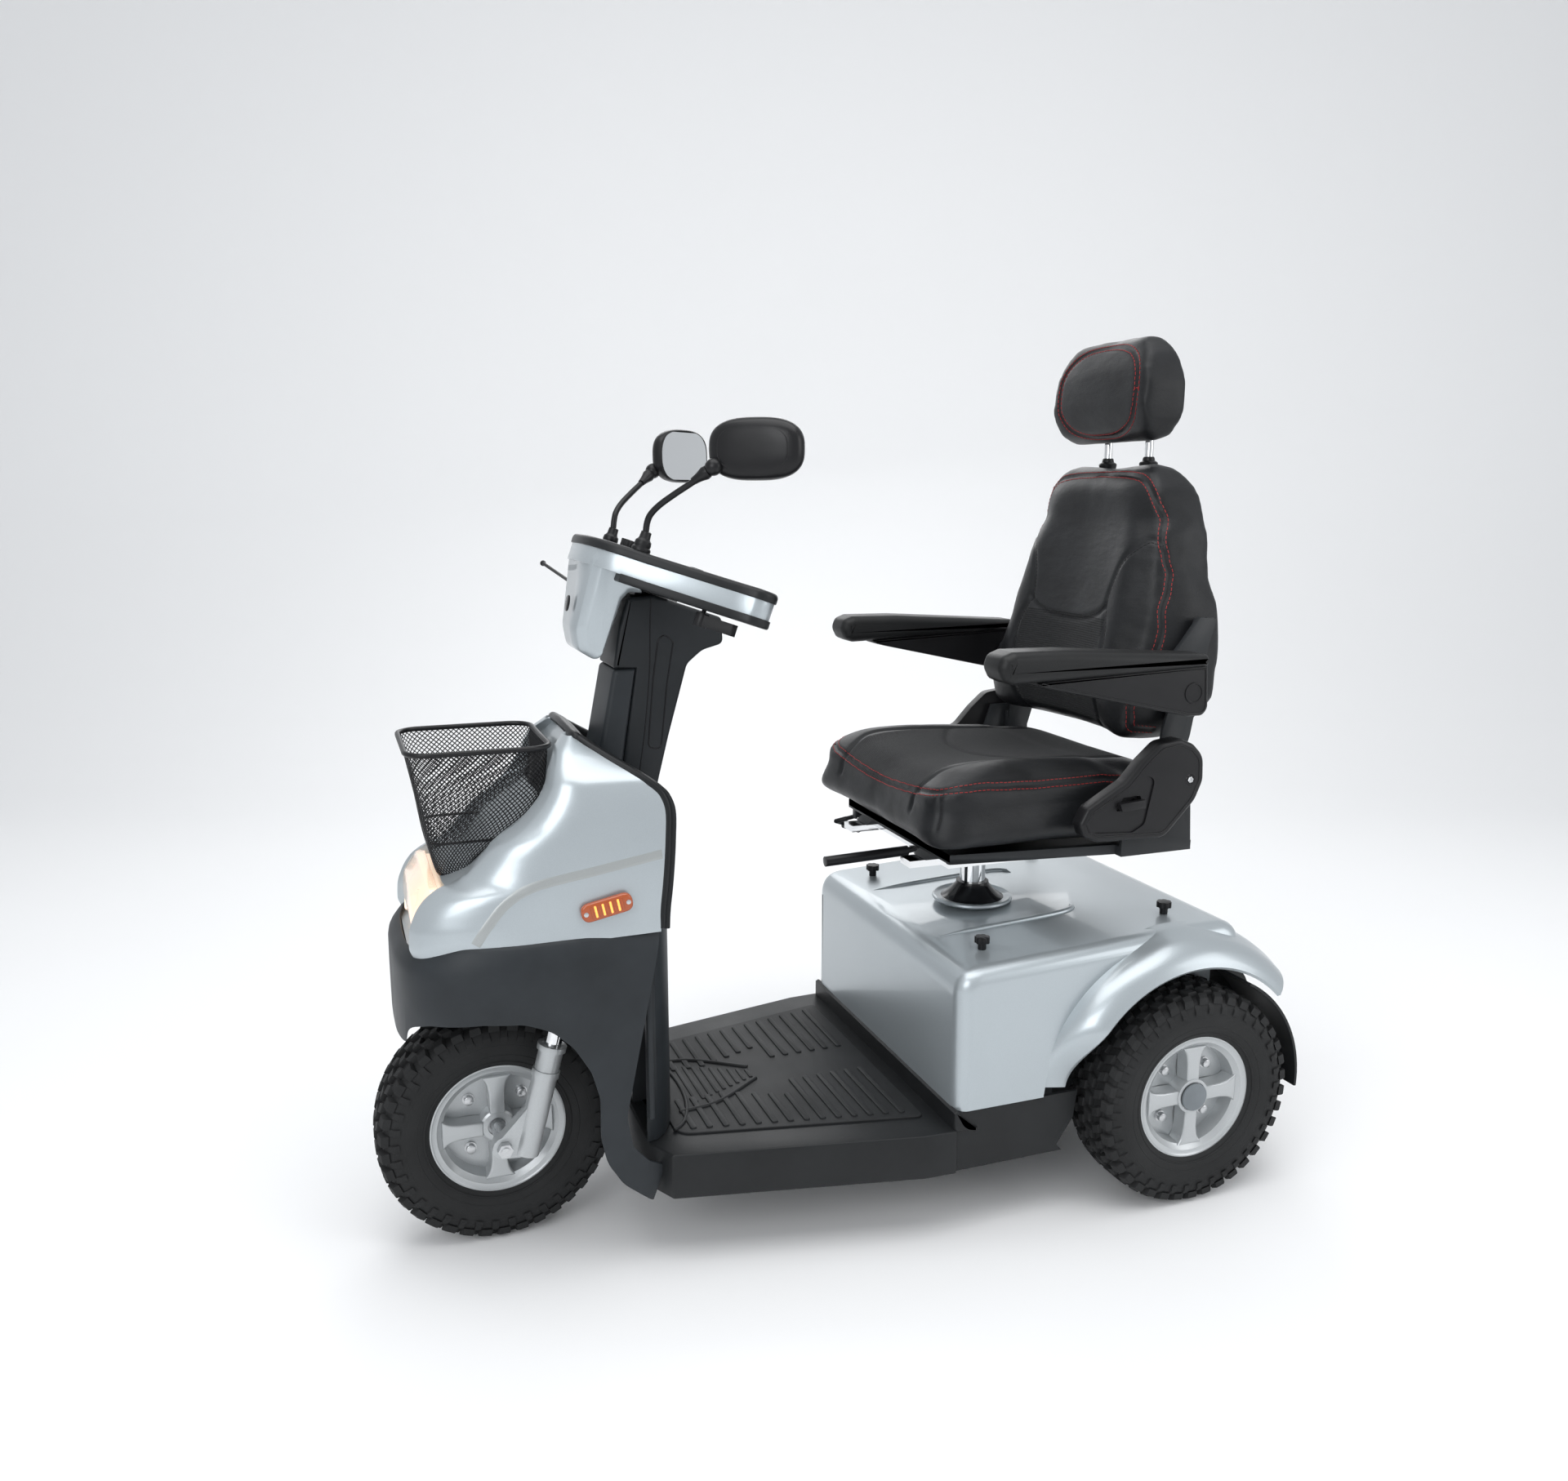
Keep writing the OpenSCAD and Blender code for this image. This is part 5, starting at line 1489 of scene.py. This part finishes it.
def makeMirror(side, word):
    place = mirrorPlace(side)
    outline = softLoop(63, 39, 0.72, 72)
    rings = []
    for depth, share in ((-9.4, 0.0), (-9.4, 0.918), (-11.8, 0.93), (-12.6, 0.955), (-11.4, 0.985),
                         (-8, 0.998), (-3, 1.0), (2, 0.975), (6, 0.92), (9, 0.83), (11.2, 0.68), (12.2, 0.48),
                         (12.6, 0.25), (12.7, 0.0)):
        rings.append([place(a * max(share, 0.001), b * max(share, 0.001), depth) for a, b in outline])
    shell = gridPiece("mirrorShell", rings, finish["mirrorBlack"], 40, closed=True)
    ridge = [place(a * 0.74, b * 0.70, 9.9) for a, b in outline]
    line = tube("mirrorRidge", ridge, 0.9, finish["mirrorBlack"], 8, closed=True)
    bx, by, bz = mirrorShape["ball"]
    socket = revolved("mirrorSocket",
                      [(-12 + 0.6 * k, math.sqrt(max(144 - (-12 + 0.6 * k) ** 2, 0.01)) * 0.92)
                      for k in range(41)], at(bx, side * by, bz), (24, -16 * side, -18),
                      finish["mirrorBlack"], 32)
    finished(joined("mirrorShell_" + word, [shell, line, socket]), "mirror_" + word, "mirror_black",
             "mirror_shell_" + word)
    stem = smoothPath([at(x, side * y, z) for x, y, z in ((757, 94, 984), (755, 95, 998), (751, 99, 1009),
                      (741, 108, 1021), (724, 121, 1035), (704, 136, 1050), (688, 147, 1063))], 8)
    arm = tube("mirrorStem", stem, 4.2, finish["mirrorBlack"], 18)
    up = Vector((-math.sin(slope), 0, math.cos(slope)))
    base = revolved("mirrorBase",
                    [(0.3, 6), (0.3, 12.4), (3, 12.8), (5, 12.2), (6, 10.8), (8, 10.8), (9, 11.2), (14, 10.4),
                    (16, 8.4), (18, 7.4), (26, 6.8), (27, 5)], onConsole(11, side * 94, 0), up,
                    finish["knob"], 40)
    boot = revolved("mirrorBoot", [(0, 4.2), (0, 8.2), (5, 9.0), (11, 7.2), (16, 6.0), (24, 4.9), (24, 4.2)],
                    at(688, side * 147, 1063), (0.62, -0.46 * side, -0.48), finish["knob"], 32)
    finished(joined("mirrorArm_" + word, [arm, base, boot]), "mirror_arm_" + word, "mirror_black",
             "mirror_arm_" + word)


# lamps

indicatorShape = {"at": (838, 171.6, 515), "tilt": 12, "yaw": -2, "half": 34, "tall": 12.5, "ribs": 9}


def makeLamps():
    lens = slab("lampLens",
                rounded([(1040, 457), (1066, 457), (1083, 480), (1081, 512), (1060, 540), (1040, 540)],
                [2, 8, 14, 20, 10, 2], 6), -102, 102, finish["lens"], "side", (10, 10), 6)
    for vertex in lens.data.vertices:
        x, y, z = placeOf(vertex.co)
        vertex.co.x -= 13 * mm * smoothStep(1042, 1070, x) * (abs(y) / 102) ** 3
    glow = slab("lampGlow",
                rounded([(1040, 461), (1060, 461), (1074, 482), (1072, 510), (1053, 535), (1040, 535)], 6, 4),
                -96, 96, finish["lamp"], "side", (8, 8), 4)
    for vertex in glow.data.vertices:
        x, y, z = placeOf(vertex.co)
        vertex.co.x -= 13 * mm * (abs(y) / 102) ** 3
    bowls = []
    for y in (-58, 58):
        bowls.append(revolved("lampBowl", [(0, 6), (0.6, 14), (2, 22), (4, 28), (4.6, 29), (4, 30), (0, 31)],
                              at(1063, y, 496), (0.97, 0.0, 0.22), finish["lamp"], 48))
    finished(joined("headlightUnit", [lens, glow] + bowls), "chassis", "lamp_clear", "headlight_lens")
    pieces = []
    shape = indicatorShape
    middleX, middleY, middleZ = shape["at"]
    tilt, yaw = math.radians(shape["tilt"]), math.radians(shape["yaw"])
    for side in (1, -1):
        def place(v, side=side):
            a, b, depth = placeOf(v)
            x, down = a * math.cos(tilt) - b * math.sin(tilt), a * math.sin(tilt) + b * math.cos(tilt)
            return at(middleX + x * math.cos(yaw) - depth * math.sin(yaw),
                      side * (middleY + x * math.sin(yaw) + depth), middleZ - down)
        outline = roundedBox(0, 0, shape["half"], shape["tall"], 12.4, 8)
        pieces.append(slab("indicatorLens", outline, 0, 7.4, finish["amber"], "plan", (1, 3.4), 4, place))
        for k in range(shape["ribs"]):
            rib = roundedBox(-20 + 5 * k, 0, 1.5, 8, 1.2)
            material = finish["led"] if k % 2 else finish["amber"]
            pieces.append(slab("indicatorRib", rib, 6.6, 8.6, material, "plan", (0, 1), 2, place))
        for x in (-28, 28):
            ring = [(x + 3.2 * math.cos(math.radians(a)), 3.2 * math.sin(math.radians(a)))
                    for a in range(0, 360, 20)]
            pieces.append(slab("indicatorScrew", ring, 6.5, 8.4, finish["zinc"], "plan", (0, 0.6), 2, place))
    finished(joined("sideIndicators", pieces), "chassis", "lamp_amber", "front_indicators")


# seat fittings

def makeHinges():
    outline = rounded([(190, 584), (182, 566), (160, 556), (48, 552), (-2, 604), (-14, 632), (-12, 668),
                       (6, 686), (30, 696), (64, 692), (92, 668), (118, 640), (150, 622),
                       (178, 606)],
                      [8, 10, 16, 30, 40, 30, 30, 20, 24, 24, 30, 30, 30, 12], 6)
    groove = rounded([(176, 590), (166, 570), (104, 566), (84, 576), (70, 640), (84, 648), (100, 622),
                      (140, 604)],
                     [8, 8, 8, 12, 12, 8, 16, 20], 5)
    pieces = []
    for side in (1, -1):
        low, high = sorted((side * 236, side * 258))
        cover = slab("hingeCover", outline, low, high, finish["knob"], "side", (1, 6) if side > 0 else (6, 1),
                     5)
        window = rounded([(84, 598), (132, 598), (122, 618), (92, 618)], 3, 3)
        cutLow, cutHigh = sorted((side * 246, side * 270))
        cutBy(cover, slab("windowCutter", window, cutLow, cutHigh, finish["knob"], "side", (0, 0)))
        cutLow, cutHigh = sorted((side * 255.5, side * 270))
        cutBy(cover, slab("grooveCutter", groove, cutLow, cutHigh, finish["knob"], "side", (0, 0)))
        bolt = revolved("hingeBolt",
                        [(-3, 0), (-3, 8), (-0.5, 8.6), (0.6, 7.6), (0.6, 5.6), (-1.4, 5.0), (-1.4, 0)],
                        at(10, side * 258, 635), (0, side, 0), finish["gloss"], 36)
        head = revolved("hingeBoltHead", [(-2, 5), (0.9, 4.8), (1.6, 4.0), (1.6, 2.2), (0.6, 2.0), (0.6, 0)],
                        at(10, side * 258, 635), (0, side, 0), finish["zinc"], 6)
        line = [at(x, side * 258.0, z) for x, z in shrunk(outline, 9)]
        pieces += [cover, bolt, head, tube("hingeLine", line, 0.9, finish["gloss"], 8, closed=True)]
    finished(joined("hingeShells", pieces), "seat", "seat_plastic", "hinge_covers")


def makeArmrest(side, word):
    pad = rounded([(334, 796), (342, 812), (336, 828), (320, 834), (240, 833), (12, 818), (12, 800),
                   (320, 790)],
                  [10, 16, 12, 12, 60, 8, 6, 16], 6)
    low, high = sorted((side * 233, side * 291))
    pieces = [slab("armPad", pad, low, high, finish["arm"], "side", (13, 13), 8)]
    plate = rounded([(304, 791), (12, 803), (8, 742), (16, 732), (40, 732)], [6, 4, 14, 12, 16], 5)
    low, high = sorted((side * 240, side * 284))
    pieces.append(slab("armPlate", plate, low, high, finish["knob"], "side", (4, 4), 4))
    pieces.append(revolved("armCap", [(0, 0), (0, 15), (1.2, 14.6), (1.2, 12.6), (0.2, 12.2), (0.2, 0)],
                           at(34, side * 284, 765), (0, side, 0), finish["knob"], 48))
    line = [at(x, side * 284.1, z) for x, z in shrunk(plate, 5)]
    pieces.append(tube("armLine", line, 0.7, finish["gloss"], 8, closed=True))
    pieces.append(revolved("armPivot", [(0, 0), (0, 16), (15, 16), (16, 15), (16, 0)],
                           at(30, side * 236, 763), (0, -side, 0), finish["knob"], 40))
    finished(joined("armrest_" + word, pieces), "armrest_" + word, "arm_foam", "armrest_" + word)


def makeCollars():
    low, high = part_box("headrest_posts")
    radius = (high.x - low.x) / 2
    pieces = []
    for y in (low.y + radius, high.y - radius):
        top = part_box("back_cushion")[1].z
        pieces.append(revolved("postCollar",
                               [(-4, radius / mm + 0.7), (-4, 13), (2, 14), (4, 13), (6, 9.5), (11, 8.4),
                      (12, radius / mm + 0.8)], Vector(((low.x + high.x) / 2, y, top)), (0, 0, 1),
                               finish["knob"], 36))
    finished(joined("postCollars", pieces), "backrest", "seat_plastic")


makeConsole()
makeHead()
makeColumn()
for side, word in ((1, "left"), (-1, "right")):
    makeMirror(side, word)
    makeArmrest(side, word)
makeLamps()
makeHinges()
makeCollars()
print("tiller, mirrors, lamps and seat fittings made")

# floor, light and camera

def stage():
    size = 9.0
    depth = 1.15
    profile = [(4.0, 0.0), (0.0, 0.0), (-2.2, 0.0)]
    for k in range(1, 9):
        angle = math.pi / 2 * k / 8
        profile.append((-2.2 - depth * math.sin(angle), depth * (1 - math.cos(angle))))
    profile.append((-2.2 - depth, 5.0))
    turn = math.radians(-20)
    verts = []
    for y, z in profile:
        for x in (-size, size):
            verts.append((x * math.cos(turn) - y * math.sin(turn), x * math.sin(turn) + y * math.cos(turn),
                          z))
    faces = [(2 * i, 2 * i + 1, 2 * i + 3, 2 * i + 2) for i in range(len(profile) - 1)]
    floor = surface("studioFloor", (0.86, 0.865, 0.87), 0.65)
    vary(floor, "Roughness", noiseOf(floor.node_tree, 3, 3), 0.6, 0.7)
    piece = objectFrom("studioFloor", verts, faces, floor, 60)
    if piece.data.polygons[0].normal.z < 0:
        piece.data.flip_normals()


def softLight(name, place, aim, size, power, color=(1, 1, 1)):
    data = bpy.data.lights.new(name, "AREA")
    data.shape = "RECTANGLE"
    data.size, data.size_y = size
    data.energy = power
    data.color = color
    light = bpy.data.objects.new(name, data)
    light.location = place
    light.rotation_euler = (Vector(aim) - Vector(place)).to_track_quat("-Z", "Y").to_euler()
    bpy.context.scene.collection.objects.link(light)


stage()
softLight("topLight", (0.2, 0.6, 3.2), (0, 0, 0.4), (3.2, 2.4), 62)
softLight("keyLight", (2.6, 2.6, 2.1), (0.1, 0, 0.5), (2.0, 2.0), 46, (0.97, 0.985, 1))
softLight("sideLight", (-2.6, 2.4, 1.6), (0, 0, 0.5), (1.8, 2.0), 24)
softLight("backLight", (-0.8, -2.6, 2.2), (0, 0, 0.6), (2.4, 1.4), 24)

world = bpy.data.worlds.new("studio")
world.use_nodes = True
world.node_tree.nodes["Background"].inputs["Color"].default_value = (0.95, 0.97, 1.0, 1)
world.node_tree.nodes["Background"].inputs["Strength"].default_value = 0.62
bpy.context.scene.world = world

camera = bpy.data.objects.new("camera", bpy.data.cameras.new("camera"))
camera.data.sensor_width = 36
camera.data.lens = 29.0
camera.location = (0.704, 1.7032, 1.0351)
camera.rotation_euler = Vector((-0.34052, -0.92045, -0.19189)).to_track_quat("-Z", "Y").to_euler()
bpy.context.scene.collection.objects.link(camera)
bpy.context.scene.camera = camera
bpy.context.scene.view_settings.view_transform = "Standard"
